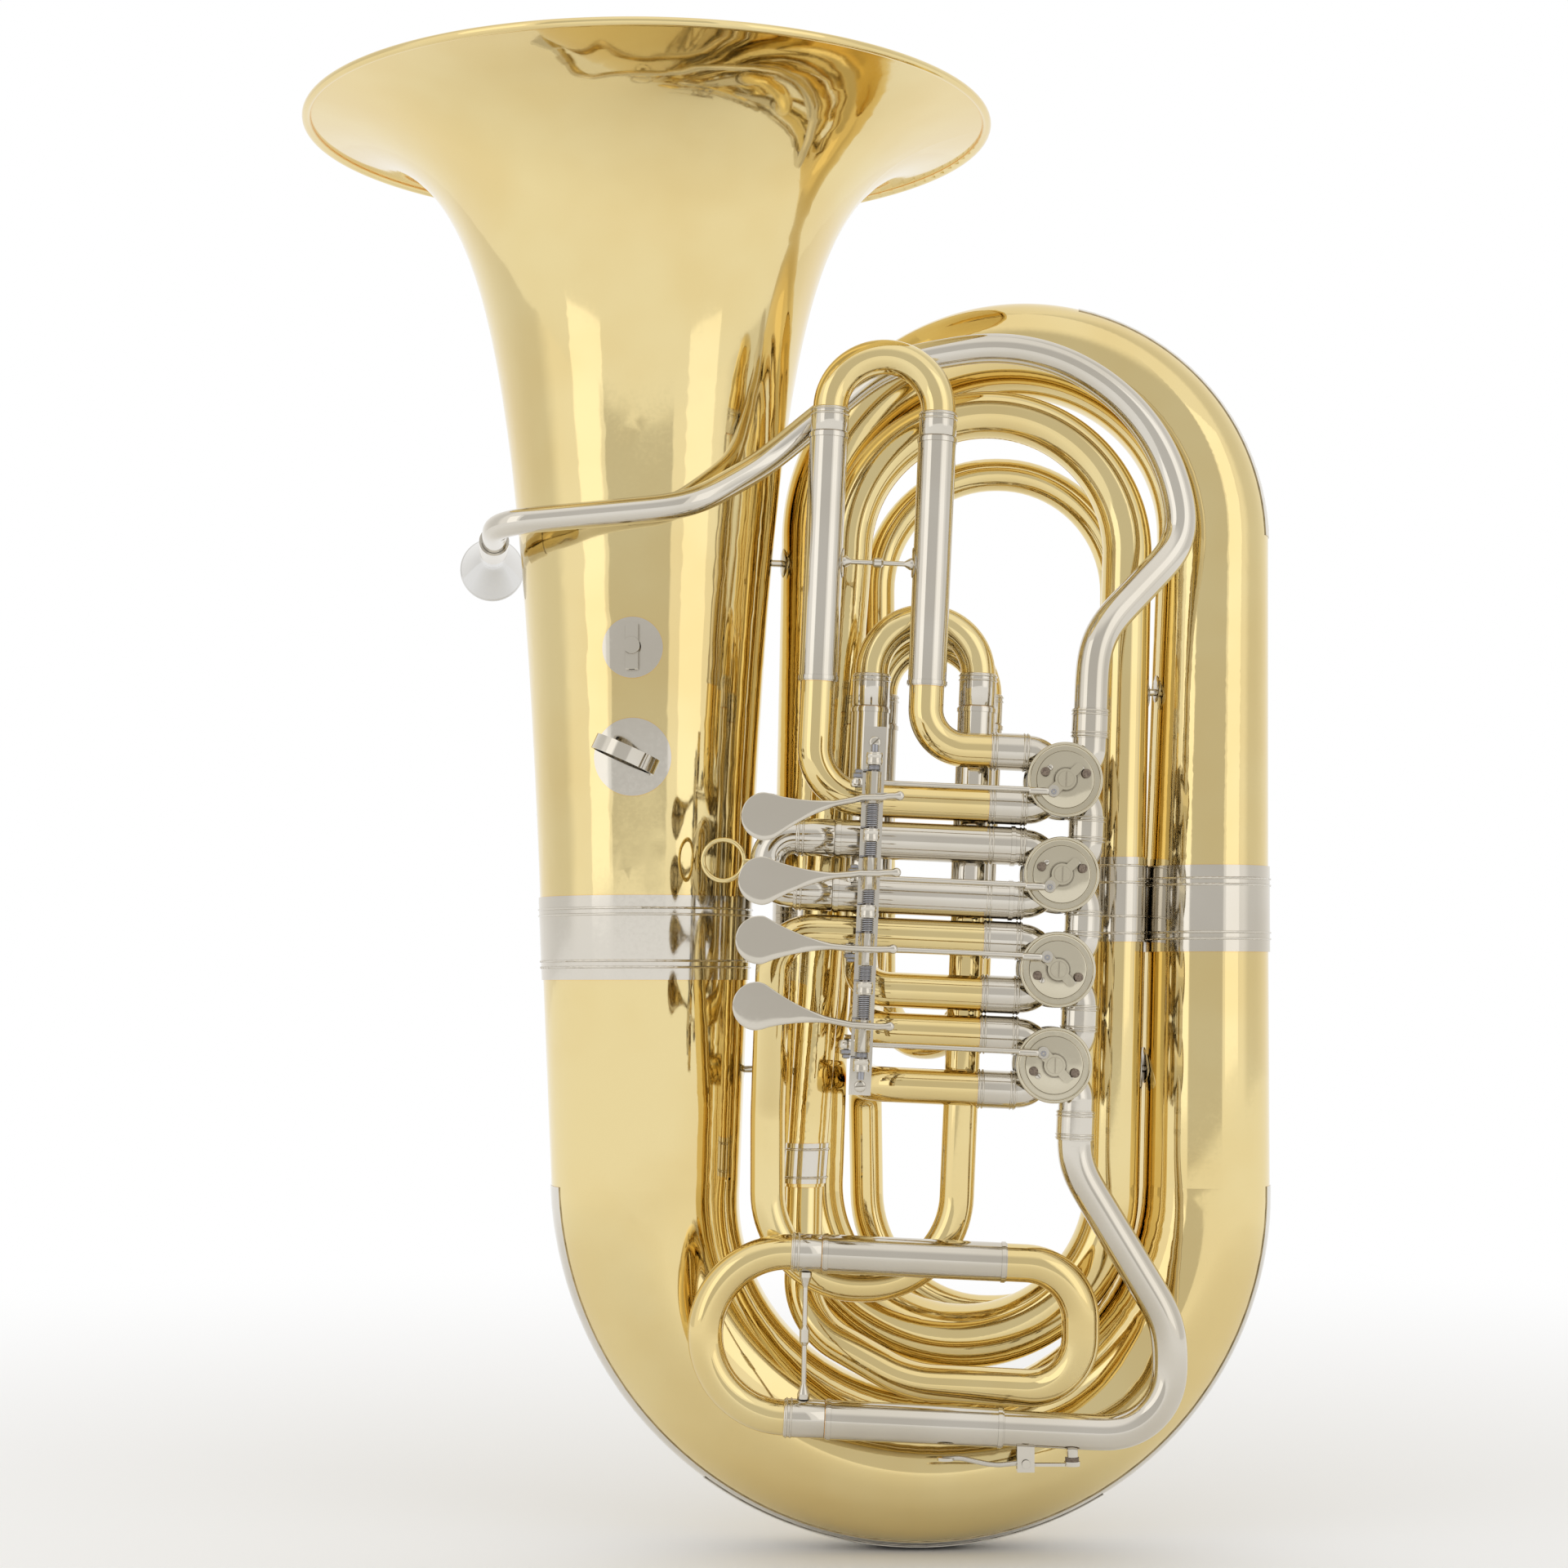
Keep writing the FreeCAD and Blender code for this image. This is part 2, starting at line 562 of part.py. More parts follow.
def build_stop_work():
    """Stop arms with their pins and screws, stop plates and cork bumpers."""
    face = -size("casing_half") - size("plate_depth")
    plates, corks = [], []
    for valve in range(4):
        name = "Stop%d" % (valve + 1)
        z = valve_height(valve)
        side = pin_side(valve)
        diagonal = size("pin_offset") * math.sqrt(0.5)
        hub = straight_tube(here(0, face - 4.3, z), here(0, face - 1.3, z), 6.2, 4.02)
        pin_at = (-diagonal, z + side * diagonal)
        arm = slab((pin_at[0], pin_at[1]), (0, z), 6.4, face - 4.3, face - 1.3)
        lug_at = (10.2 * math.sqrt(0.5), z - side * 10.2 * math.sqrt(0.5))
        lug = slab(lug_at, (0, z), 5, face - 4.3, face - 1.3)
        pin = Part.makeCylinder(size("pin_radius"), 1.5, here(pin_at[0], face - 5.8, pin_at[1]),
                                here(0, 1, 0) - here(0, 0, 0))
        bore = Part.makeCylinder(4.02, 8, here(0, face - 7, z), here(0, 1, 0) - here(0, 0, 0))
        body = single(hub.fuse([arm, lug, pin]).cut(bore).removeSplitter())
        head = Part.makeCylinder(4.6, 1.1, here(0, face - 5.4, z), here(0, 1, 0) - here(0, 0, 0))
        slot = Part.makeBox(0.9, 0.7, 12, Vector(-0.45, face - 5.5, z - 6))
        slot.Placement = CLUSTER.multiply(slot.Placement)
        keep_group("stop_arm_%d" % (valve + 1), [body, single(head.cut(slot))])
        ring = straight_tube(here(0, face - 1, z), here(0, face, z), 16.5, 6.8)
        gap_angle = math.radians(45 + 27)
        for turn in (-1, 1):
            x = 12.6 * math.sin(gap_angle) * turn
            height = z - side * 12.6 * math.cos(gap_angle)
            corks.append(Part.makeCylinder(2.6, 3.2, here(x, face - 4.2, height),
                                           here(0, 1, 0) - here(0, 0, 0)))
        plates.append(ring)
    keep_group("stop_plates", plates)
    keep_group("stop_corks", corks)


def slab(start, end, width, front, back):
    """Flat bar with round ends between two points of the cluster's front plane."""
    a, b = Vector(start[0], 0, start[1]), Vector(end[0], 0, end[1])
    along = (b - a).normalize()
    across = Vector(along.z, 0, -along.x) * (width / 2)
    depth = Vector(0, front, 0)
    corners = [a + across + depth, b + across + depth, b - across + depth, a - across + depth]
    edges = [
        Part.LineSegment(corners[0], corners[1]).toShape(),
        Part.Arc(corners[1], b + along * (width / 2) + depth, corners[2]).toShape(),
        Part.LineSegment(corners[2], corners[3]).toShape(),
        Part.Arc(corners[3], a - along * (width / 2) + depth, corners[0]).toShape(),
    ]
    solid = Part.Face(Part.Wire(edges)).extrude(Vector(0, back - front, 0))
    solid.Placement = CLUSTER.multiply(solid.Placement)
    return solid


# ---------------------------------------------------------------- slides

def crook(points, bends, collars):
    """U-shaped slide tube whose legs run inside the sleeves, with a collar on each leg."""
    solids = [bent_tube(points, bends, SLEEVE_BORE - 0.05, TUBE_WALL)]
    for mouth, end in collars:
        axis = (end - mouth).normalize()
        start = mouth + axis * 0.3
        ring = straight_tube(start, end, SLEEVE - 0.2, SLEEVE_BORE)
        for spot in (end - axis * 1.5, end - axis * 3.5):
            ring = ring.fuse(straight_tube(spot - axis * 0.6, spot + axis * 0.6, SLEEVE + 0.2,
                                           SLEEVE_BORE))
        solids.append(single(ring.removeSplitter()))
    return solids


def sleeve_pair(points):
    """Two sleeves, each with a bead ring at both mouths."""
    tubes = []
    for low, high in points:
        tube = straight_tube(low, high, SLEEVE, SLEEVE_BORE)
        axis = (high - low).normalize()
        for spot in (low + axis * 2, high - axis * 2):
            tube = tube.fuse(straight_tube(spot - axis * 1.2, spot + axis * 1.2, SLEEVE + 0.6,
                                           SLEEVE_BORE))
        tubes.append(single(tube.removeSplitter()))
    return tubes


def build_first_slide():
    left, right = size("slide_one_left"), size("slide_one_right")
    foot, head = size("slide_one_foot"), size("slide_one_head")
    out = head + size("slide_one_out")
    low_port = valve_height(0) - size("port_offset")
    high_port = valve_height(0) + size("port_offset")
    elbows = [
        bent_tube([here(-26, 0, low_port), here(left, 0, low_port), here(left, 0, foot)], [30]),
        bent_tube([here(-26, 0, high_port), here(right, 0, high_port), here(right, 0, foot)], [24]),
    ]
    keep_group("first_slide_elbows", elbows)
    spread = (right - left) / 2
    depth = head - size("slide_leg_depth")
    points = [here(left, 0, depth), here(left, 0, out + spread), here(right, 0, out + spread),
              here(right, 0, depth)]
    collars = [(here(x, 0, head), here(x, 0, out)) for x in (left, right)]
    keep_group("first_slide_crook", crook(points, [spread, spread], collars))
    return [(here(x, 0, foot), here(x, 0, head)) for x in (left, right)]


def turned_post(start, end):
    """Brace post with a slim waist, a middle bead and wide feet."""
    axis = end - start
    length = axis.Length
    profile = [(3.6, 0), (3.6, 0.04), (1.5, 0.12), (1.5, 0.42), (2.9, 0.45), (2.9, 0.55),
               (1.5, 0.58), (1.5, 0.88), (3.6, 0.96), (3.6, 1)]
    points = [Vector(0, 0, 0)] + [Vector(r, 0, share * length) for r, share in profile]
    points += [Vector(0, 0, length), Vector(0, 0, 0)]
    solid = Part.Face(Part.makePolygon(points)).revolve(Vector(0, 0, 0), Z_AXIS, 360)
    solid.Placement = Placement(start, Rotation(Z_AXIS, axis))
    return solid


def build_second_slide():
    mouth = size("slide_two_mouth")
    port = size("port_offset")
    z = valve_height(1)
    out = mouth - size("slide_two_out")
    inner = -26 - 20
    points = [here(inner, 0, z + port), here(out - port, 0, z + port),
              here(out - port, 0, z - port), here(inner, 0, z - port)]
    collars = [(here(mouth, 0, z + up * port), here(out, 0, z + up * port)) for up in (1, -1)]
    solids = crook(points, [port, port], collars)
    left = out - port - TUBE
    ring = Part.makeTorus(12, 1.4, here(left - 15.5, 0, z), here(0, 1, 0) - here(0, 0, 0))
    lug = Part.makeCylinder(1.6, 4, here(left - 4.2, 0, z), here(1, 0, 0) - here(0, 0, 0))
    core = bent_rod(points, [port, port], SLEEVE_BORE - 0.05)
    keep_group("second_slide_crook", solids + [single(ring.fuse(lug).cut(core))])
    return [(here(mouth, 0, z + up * port), here(-26, 0, z + up * port)) for up in (1, -1)]


def lean_point(x, y, z):
    """Point on an upright line that leans with the cluster and passes x at the slide heads."""
    return Vector(x + (z - size("slide_three_head")) * math.tan(math.radians(
        size("cluster_lean"))), y, z)


def back_slide(label, left, right, y, foot, head, out, depth):
    """Crook of a slide that points upwards behind the front plane."""
    spread = (right - left) / 2
    top = head + out + spread
    points = [lean_point(left, y, head - depth), lean_point(left, y, top),
              lean_point(right, y, top), lean_point(right, y, head - depth)]
    spread = (points[2] - points[1]).Length / 2 - 0.01
    collars = [(lean_point(x, y, head), lean_point(x, y, head + out)) for x in (left, right)]
    keep_group(label, crook(points, [spread, spread], collars))
    return [(lean_point(x, y, foot), lean_point(x, y, head)) for x in (left, right)]


def build_third_slide():
    y = size("slide_three_y")
    left, right = size("slide_three_left"), size("slide_three_right")
    foot = size("slide_three_foot")
    high_port = valve_height(2) + size("port_offset")
    low_port = valve_height(2) - size("port_offset")
    down = Vector(-95, y, 262)
    bow_low = 162
    outer = bent_tube([here(-26, 0, high_port), here(-165, 0, high_port), down,
                       Vector(-95, y, bow_low), lean_point(right, y, bow_low),
                       lean_point(right, y, foot)], [24, 60, 54, 54])
    end = lean_point(left, y, foot)
    inner = bent_tube([here(-26, 0, low_port), here(-112, 0, low_port),
                       lean_point(left, y, foot - 29), end], [17, 14])
    keep_group("third_slide_tubing", [outer, inner])
    return back_slide("third_slide_crook", left, right, y, foot, size("slide_three_head"),
                      size("slide_three_out"), size("slide_leg_depth"))


def build_fourth_loop():
    y, rear = size("slide_four_y"), size("loop_y")
    left, right = size("slide_four_left"), size("slide_four_right")
    foot = size("slide_four_foot")
    high_port = valve_height(3) + size("port_offset")
    low_port = valve_height(3) - size("port_offset")
    elbow = here(-105, 0, low_port)
    route = [
        here(-26, 0, low_port), elbow, Vector(elbow.x, rear, elbow.z),
        Vector(-33, rear, 136), Vector(117.5, rear, 136), Vector(125, rear, 659.5),
        Vector(-26, rear, 659.5), Vector(-26, rear, 303), lean_point(right, y, 303),
        lean_point(right, y, foot),
    ]
    bends = [20, 20, 74, 73, 74, 74, 42, 42]
    long_tube = bent_tube(route, bends)
    short_route = [here(-26, 0, high_port), here(-110, 0, high_port),
                   lean_point(left, y, 322), lean_point(left, y, foot)]
    short = bent_tube(short_route, [18, 22])
    keep_group("fourth_valve_tubing", [long_tube, short])
    return back_slide("fourth_slide_crook", left, right, y, foot, size("slide_four_head"),
                      size("slide_four_out"), size("slide_leg_depth"))


def build_main_slide():
    half, out = size("main_slide_half"), size("main_slide_out")
    end = size("main_sleeve_end")
    depth = out + size("slide_leg_depth")
    points = [slide_point(depth, half), slide_point(-half, half), slide_point(-half, -half),
              slide_point(depth, -half)]
    collars = [(slide_point(out, half), slide_point(0, half)),
               (slide_point(out + 6, -half), slide_point(0, -half))]
    keep_group("main_slide_crook", crook(points, [half - 0.01, half - 0.01], collars))
    keep_shape("main_slide_post", turned_post(slide_point(9, half - SLEEVE + 0.1),
                                              slide_point(11, -half + SLEEVE - 0.1)))
    lower_end = end + 2
    return [(slide_point(out, half), slide_point(end, half)),
            (slide_point(out + 6, -half), slide_point(lower_end, -half))]


def build_outlet():
    """Nickel tube from the fourth valve down to the main slide's lower leg."""
    start = here(size("main_offset"), 0, valve_height(3) - 30)
    end = slide_point(size("main_sleeve_end") + 2, -size("main_slide_half"))
    corner = slide_point(224, -size("main_slide_half"))
    y = size("cluster_y")
    route = [start, here(size("main_offset"), 0, -140), Vector(corner.x, y, 142), corner, end]
    keep_shape("outlet_tube", bent_tube(route, [42, 50, 36], TUBE, TUBE_WALL))
    return end


# ---------------------------------------------------------------- leadpipe and mouthpiece

def build_leadpipe():
    """Tapered pipe that rises across the bell, goes over the bow and drops into valve 1."""
    port = size("main_offset")
    arc = 114
    crown = Vector(40, -50, 607)
    reach = arc / math.cos(math.radians(22.5))

    def on_arc(angle):
        turn = math.radians(angle)
        return crown + Vector(math.cos(turn), 0, math.sin(turn)) * reach

    route = [Vector(-261.5, -30, 604), Vector(-254, -98, 607), Vector(-140, -98, 617.5),
             Vector(-98, -68, 647), Vector(-24, -50, 711.5), on_arc(77.5), on_arc(32.5),
             Vector(155.5, -52, 604), here(port, 0, 169), here(port, 0, valve_height(0) + 30)]
    bends = [21, 45, 60, 70, arc - 3, arc - 3, 36, 44]
    keep_shape("leadpipe", tapered_tube(route, bends, 7.3, TUBE, TUBE_WALL))
    start = route[0]
    axis = (route[0] - route[1]).normalize()
    receiver = straight_tube(start - axis * 14, start + axis * 14, 9, 7.5)
    seat = Part.makeCylinder(7.3, 14, start, axis)
    bore = Part.makeCylinder(5.8, 30, start - axis, axis)
    keep_shape("mouthpiece_receiver", single(receiver.fuse(seat).cut(bore).removeSplitter()))
    build_mouthpiece(start + axis * 0.6, axis)


def build_mouthpiece(start, axis):
    """Turned cup mouthpiece: shank in the receiver, backbore, cup and rounded rim."""
    outer = [(5.7, 0), (5.72, 14), (7.2, 34), (7.0, 40), (9.0, 46), (17.6, 72), (19.3, 78)]
    inner = [(16.2, 84.0), (13.6, 78), (10.5, 66), (4.0, 54), (3.9, 48), (4.9, 0)]
    points = [Vector(r, 0, z) for r, z in outer]
    curve = Part.BSplineCurve()
    curve.interpolate(points[2:])
    rim_end = Vector(inner[0][0], 0, inner[0][1])
    rim = Part.Arc(points[-1], Vector(18.2, 0, 83.6), rim_end)
    bowl = Part.BSplineCurve()
    bowl_points = [Vector(r, 0, z) for r, z in inner]
    bowl.interpolate(bowl_points[:4])
    edges = list(Part.makePolygon(points[:3]).Edges) + [curve.toShape(), rim.toShape(),
                                                       bowl.toShape()]
    edges += list(Part.makePolygon(bowl_points[3:] + [points[0]]).Edges)
    face = Part.Face(Part.Wire(Part.__sortEdges__(edges)))
    solid = face.revolve(Vector(0, 0, 0), Z_AXIS, 360)
    solid.Placement = Placement(start, Rotation(Z_AXIS, axis))
    keep_shape("mouthpiece", solid)


# ---------------------------------------------------------------- levers

def lever_data(valve):
    """Heights in the cluster's frame of a lever's hub, link rod, arm and finger plate."""
    outer = valve in (0, 3)
    up = 1 if valve < 2 else -1
    hub = up * size("outer_hub" if outer else "inner_hub")
    diagonal = size("pin_offset") * math.sqrt(0.5)
    rod = valve_height(valve) + pin_side(valve) * diagonal
    arm = up * (65.3 if outer else 21.7)
    plate = (51.1, 14.6, -19, -56.3)[valve]
    return hub, rod, arm, plate


def stud_point():
    """Place of a lever's stud at rest, in the cluster's frame."""
    turn = math.radians(size("horn_angle"))
    reach = size("horn_length")
    return size("axle_shift") + reach * math.sin(turn), size("axle_depth") + reach * math.cos(turn)


def paddle_outline():
    """Teardrop finger plate, drawn from its wide round end towards its neck."""
    wide, neck, length = size("paddle_radius"), size("paddle_neck"), size("paddle_length")
    side = Vector(2.4, wide, 0)
    flank = Vector(length * 0.5, wide * 0.47, 0)
    end = Vector(length, neck, 0)

    def mirror(point):
        return Vector(point.x, -point.y, 0)

    return [
        Part.Arc(mirror(side), Vector(-wide, 0, 0), side),
        Part.Arc(side, flank, end),
        Part.LineSegment(end, mirror(end)),
        Part.Arc(mirror(end), mirror(flank), mirror(side)),
    ]


def build_lever(valve):
    """Finger plate, arm, hub, horn and stud of one lever, bored for the axle."""
    name = "Lever%d" % (valve + 1)
    hub_z, rod_z, arm_z, plate_z = lever_data(valve)
    x0, y0 = size("axle_shift"), size("axle_depth")
    plate_x, depth = size("paddle_x"), size("paddle_depth")
    body = DOC.addObject("PartDesign::Body", name + "Plate")
    sketch = body.newObject("Sketcher::SketchObject", name + "Outline")
    plane = [item for item in body.Origin.OriginFeatures if item.Role == "XY_Plane"][0]
    sketch.AttachmentSupport = [(plane, "")]
    sketch.MapMode = "FlatFace"
    for curve in paddle_outline():
        sketch.addGeometry(curve, False)
    pad = body.newObject("PartDesign::Pad", name + "Pad")
    pad.Profile = sketch
    pad.setExpression("Length", "Sizes.paddle_thickness")
    slope = math.degrees(math.atan2(arm_z - plate_z, x0 - plate_x))
    turn = Rotation(Vector(0, 1, 0), -slope).multiply(Rotation(Vector(1, 0, 0), 90))
    body.Placement = CLUSTER.multiply(Placement(
        Vector(plate_x, depth + size("paddle_thickness") / 2, plate_z), turn))
    up = 1 if valve < 2 else -1
    hub = cylinder(name + "Hub", "4.4", "2 * Sizes.hub_half",
                   local(x0, y0, hub_z - size("hub_half"), Z_AXIS))
    direction = Vector(x0 - plate_x, 0, arm_z - plate_z).normalize()
    root = Vector(plate_x, depth, plate_z) + direction * (size("paddle_length") - 4)
    crossing = Vector(x0, y0 - 4.4, arm_z)
    bar = bent_rod([CLUSTER.multVec(root), CLUSTER.multVec(root + direction * 12),
                    CLUSTER.multVec(crossing), CLUSTER.multVec(crossing + Vector(15, 1.2, 1))],
                   [18, 30], 1.9)
    knob = Part.makeSphere(2.7, CLUSTER.multVec(crossing + Vector(15, 1.2, 1)))
    stud_x, stud_y = stud_point()
    horn_z = rod_z - up * 3.9
    horn = horn_bar(x0, y0, stud_x, stud_y, horn_z)
    stud = Part.makeCylinder(size("stud_radius"), 7.4, here(stud_x, stud_y, rod_z - 3.7),
                             here(0, 0, 1) - here(0, 0, 0))
    worked = DOC.addObject("Part::Feature", name + "Bar")
    worked.Shape = single(bar.fuse([knob]))
    lower = DOC.addObject("Part::Feature", name + "Horn")
    lower.Shape = single(horn.fuse(stud))
    solid = fuse(name + "Solid", [body, hub, worked, lower])
    bore = cylinder(name + "Bore", "Sizes.axle_radius + 0.05", "4 * Sizes.hub_half",
                    local(x0, y0, hub_z - 2 * size("hub_half"), Z_AXIS))
    keep(cut(name, solid, bore), "lever_%d" % (valve + 1))


def horn_bar(x0, y0, x1, y1, z):
    """Flat bar from the hub back to the stud, 2.6 mm thick along the axle."""
    a, b = Vector(x0, y0, z - 1.3), Vector(x1, y1, z - 1.3)
    along = (b - a).normalize()
    across = Vector(-along.y, along.x, 0) * 1.6
    start = a + along * 3
    corners = [start + across, b + across, b - across, start - across]
    tip = b + along * 1.6
    edges = [
        Part.LineSegment(corners[0], corners[1]).toShape(),
        Part.Arc(corners[1], tip, corners[2]).toShape(),
        Part.LineSegment(corners[2], corners[3]).toShape(),
        Part.LineSegment(corners[3], corners[0]).toShape(),
    ]
    solid = Part.Face(Part.Wire(edges)).extrude(Vector(0, 0, 2.6))
    solid.Placement = CLUSTER.multiply(solid.Placement)
    return solid


def build_rod(valve):
    """Link rod: eye on the lever's stud, shank, and cup over the stop arm's pin."""
    _, rod_z, _, _ = lever_data(valve)
    stud_x, stud_y = stud_point()
    pin_x = -size("pin_offset") * math.sqrt(0.5)
    eye = straight_tube(here(stud_x, stud_y, rod_z - size("eye_half")),
                        here(stud_x, stud_y, rod_z + size("eye_half")),
                        size("eye_radius"), size("stud_radius") + 0.05)
    rod_y = stud_y
    cup = Part.makeCylinder(3.2, 3, here(pin_x, rod_y - 1.5, rod_z), here(0, 1, 0) - here(0, 0, 0))
    shank = Part.makeCylinder(size("rod_radius"), pin_x - stud_x - 3,
                              here(stud_x + 2.6, rod_y, rod_z), here(1, 0, 0) - here(0, 0, 0))
    keep_shape("link_rod_%d" % (valve + 1), single(eye.fuse([shank, cup]).removeSplitter()))


def build_lever_rail():
    """Strap with five bearing blocks, two posts and windows for the horns; axle and springs."""
    x0, y0 = size("axle_shift"), size("axle_depth")
    strap = Part.makeBox(12.4, 2, 210, Vector(x0 - 6.2, y0 + 7, -104))
    blocks = [Part.makeCylinder(4.5, 7, Vector(x0, y0, z - 3.5)) for z in (87, 43.5, 0, -43.5, -87)]
    feet = [Part.makeBox(5, 8, 7, Vector(x0 - 2.5, y0, z - 3.5)) for z in (87, 43.5, 0, -43.5, -87)]
    posts = [Part.makeCylinder(2.4, -TUBE - 0.05 - (y0 + 8), Vector(x0, y0 + 8, z), Y_AXIS)
             for z in (valve_height(0) - size("port_offset"), valve_height(2) + size("port_offset"))]
    solid = strap.fuse(blocks + feet + posts)
    for valve in range(4):
        _, rod_z, _, _ = lever_data(valve)
        up = 1 if valve < 2 else -1
        window = Part.makeBox(8.8, 6, 4.4, Vector(x0 - 4.6, y0 + 5, rod_z - up * 3.9 - 2.2))
        solid = solid.cut(window)
    bore = Part.makeCylinder(size("axle_radius"), 230, Vector(x0, y0, -115))
    solid = single(solid.cut(bore).removeSplitter())
    solid.Placement = CLUSTER.multiply(solid.Placement)
    keep_shape("lever_rail", solid)
    keep(cylinder("Axle", "Sizes.axle_radius", "190", local(x0, y0, -95, Z_AXIS)), "lever_axle")
    springs = []
    for valve in range(4):
        hub_z, _, _, _ = lever_data(valve)
        block = (65.3, 21.75, -21.75, -65.3)[valve]
        low, high = block - 21.75 + 3.7, block + 21.75 - 3.7
        for start, end in ((low, hub_z - size("hub_half") - 0.2),
                           (hub_z + size("hub_half") + 0.2, high)):
            if end - start > 1.5:
                springs.append(straight_tube(here(x0, y0, start + 0.1), here(x0, y0, end), 3.7, 2.1))
    keep_group("lever_springs", springs)


# ---------------------------------------------------------------- trims

def guard_strip(centre, bow_radius, turn, radii, depths, spread, lift, depth, shares):
    """Curved strip that lies on the outside of a bow between two shares of its turn."""
    def section(point, outward, along, radius):
        inner, outer = radius + lift, radius + lift + depth
        side = Y_AXIS
        corners = []
        for reach in (inner, outer):
            row = []
            for angle in (-spread, 0, spread):
                turned = math.radians(angle)
                row.append(point + outward * (reach * math.cos(turned))
                           + side * (reach * math.sin(turned)))
            corners.append(row)
        low, high = corners
        return Part.Wire([
            Part.Arc(*low).toShape(), Part.LineSegment(low[2], high[2]).toShape(),
            Part.Arc(high[2], high[1], high[0]).toShape(),
            Part.LineSegment(high[0], low[0]).toShape(),
        ])
    steps = 24
    sections = bow_sections(centre, bow_radius, turn, radii, depths, section, steps)
    first, last = [int(round(share * steps)) for share in shares]
    return Part.makeLoft(sections[first:last + 1], True)


def build_guards():
    """Nickel strips that save the bows from knocks."""
    big = ((0, size("big_bow_z")), size("big_bow_radius"), -1,
           (size("big_bow_start"), size("big_bow_middle"), size("big_bow_end")), (0, 0))
    lift, depth = size("guard_gap"), size("guard_depth")
    spread = size("guard_spread")
    strips = [
        guard_strip(*big, spread, lift, depth, (0, 1)),
        guard_strip(*big, spread * 0.6, 4 * lift + depth, size("rail_depth"), (0.3, 0.68)),
    ]
    top = ((size("top_bow_x"), size("top_bow_z")), size("top_bow_radius"), 1,
           (size("top_bow_start"), size("top_bow_middle"), size("top_bow_end")),
           (0, size("top_bow_rear_y")))
    strips.append(guard_strip(*top, spread, lift, depth, (0, 0.42)))
    keep_group("bow_guards", strips)


def bell_plate(centre_x, centre_z, radius, depth):
    """Round flange that hugs the front of the bell."""
    outer = bell_solid(depth)
    inner = bell_solid(0.05)
    disc = Part.makeCylinder(radius, 120, Vector(centre_x, 0, centre_z), Vector(0, -1, 0))
    return single(outer.cut(inner).common(disc))


def bell_solid(grow):
    """Bell's outside turned as a solid, grown by a small amount, for its lower and middle part."""
    heights = [380 + 20 * step for step in range(17)]
    curve = Part.BSplineCurve()
    curve.interpolate([Vector(horn_radius(z) + grow, 0, z) for z in heights])
    low, high = heights[0], heights[-1]
    path = [curve.toShape(),
            Part.LineSegment(Vector(horn_radius(high) + grow, 0, high), Vector(0, 0, high)).toShape(),
            Part.LineSegment(Vector(0, 0, high), Vector(0, 0, low)).toShape(),
            Part.LineSegment(Vector(0, 0, low), Vector(horn_radius(low) + grow, 0, low)).toShape()]
    solid = Part.Face(Part.Wire(path)).revolve(Vector(0, 0, 0), Z_AXIS, 360)
    solid.translate(Vector(size("bell_axis_x"), 0, 0))
    return solid


def build_lyre_socket():
    """Round plate and upright block with a square hole, and the thumb screw that grips in it."""
    x, z = size("fitting_x"), size("lyre_z")
    front = -horn_radius(z)
    depth, width, height = size("lyre_depth"), size("lyre_width"), size("lyre_height")
    square, bore = size("lyre_square"), size("lyre_screw_bore")
    plate = bell_plate(x, z, size("lyre_plate"), size("fitting_plate"))
    block = Part.makeBox(width, depth, height,
                         Vector(x - width / 2, front - depth - 0.4, z - height / 2))
    socket = Part.makeBox(square, square, height + 13,
                          Vector(x - square / 2, front - square - 3, z - height / 2 - 6.5))
    hole = Part.makeCylinder(bore, 5, Vector(x, front - 5, z), Vector(0, -1, 0))
    block = block.cut([socket, hole, bell_solid(0.1)])
    keep_shape("lyre_socket", single(plate.fuse(block).cut(hole).removeSplitter()))
    stem = Part.makeCylinder(size("lyre_screw_stem"), 6.4, Vector(x, front - 6.6, z),
                             Vector(0, -1, 0))
    head = Part.makeCylinder(size("lyre_screw_head"), 3.4, Vector(x, front - 10.2, z),
                             Vector(0, -1, 0))
    keep_shape("lyre_screw", single(stem.fuse(head).removeSplitter()))


def build_hand_ring():
    """Wide ring standing on a round plate on the front of the bell."""
    x, z, width = size("fitting_x"), size("ring_z"), size("ring_width")
    base = bell_plate(x, z, size("ring_plate"), size("fitting_plate"))
    ring = Part.makeCylinder(size("ring_outer"), width, Vector(0, 0, -width / 2)).cut(
        Part.makeCylinder(size("ring_bore"), width + 3, Vector(0, 0, -width / 2 - 1.5)))
    middle = Vector(x - 3, -horn_radius(z) - size("ring_lift"), z)
    ring.Placement = Placement(middle, Rotation(Y_AXIS, size("ring_turn")))
    ring = ring.cut(bell_solid(size("fitting_plate") / 2))
    keep_shape("hand_ring", single(base.fuse(ring).removeSplitter()))


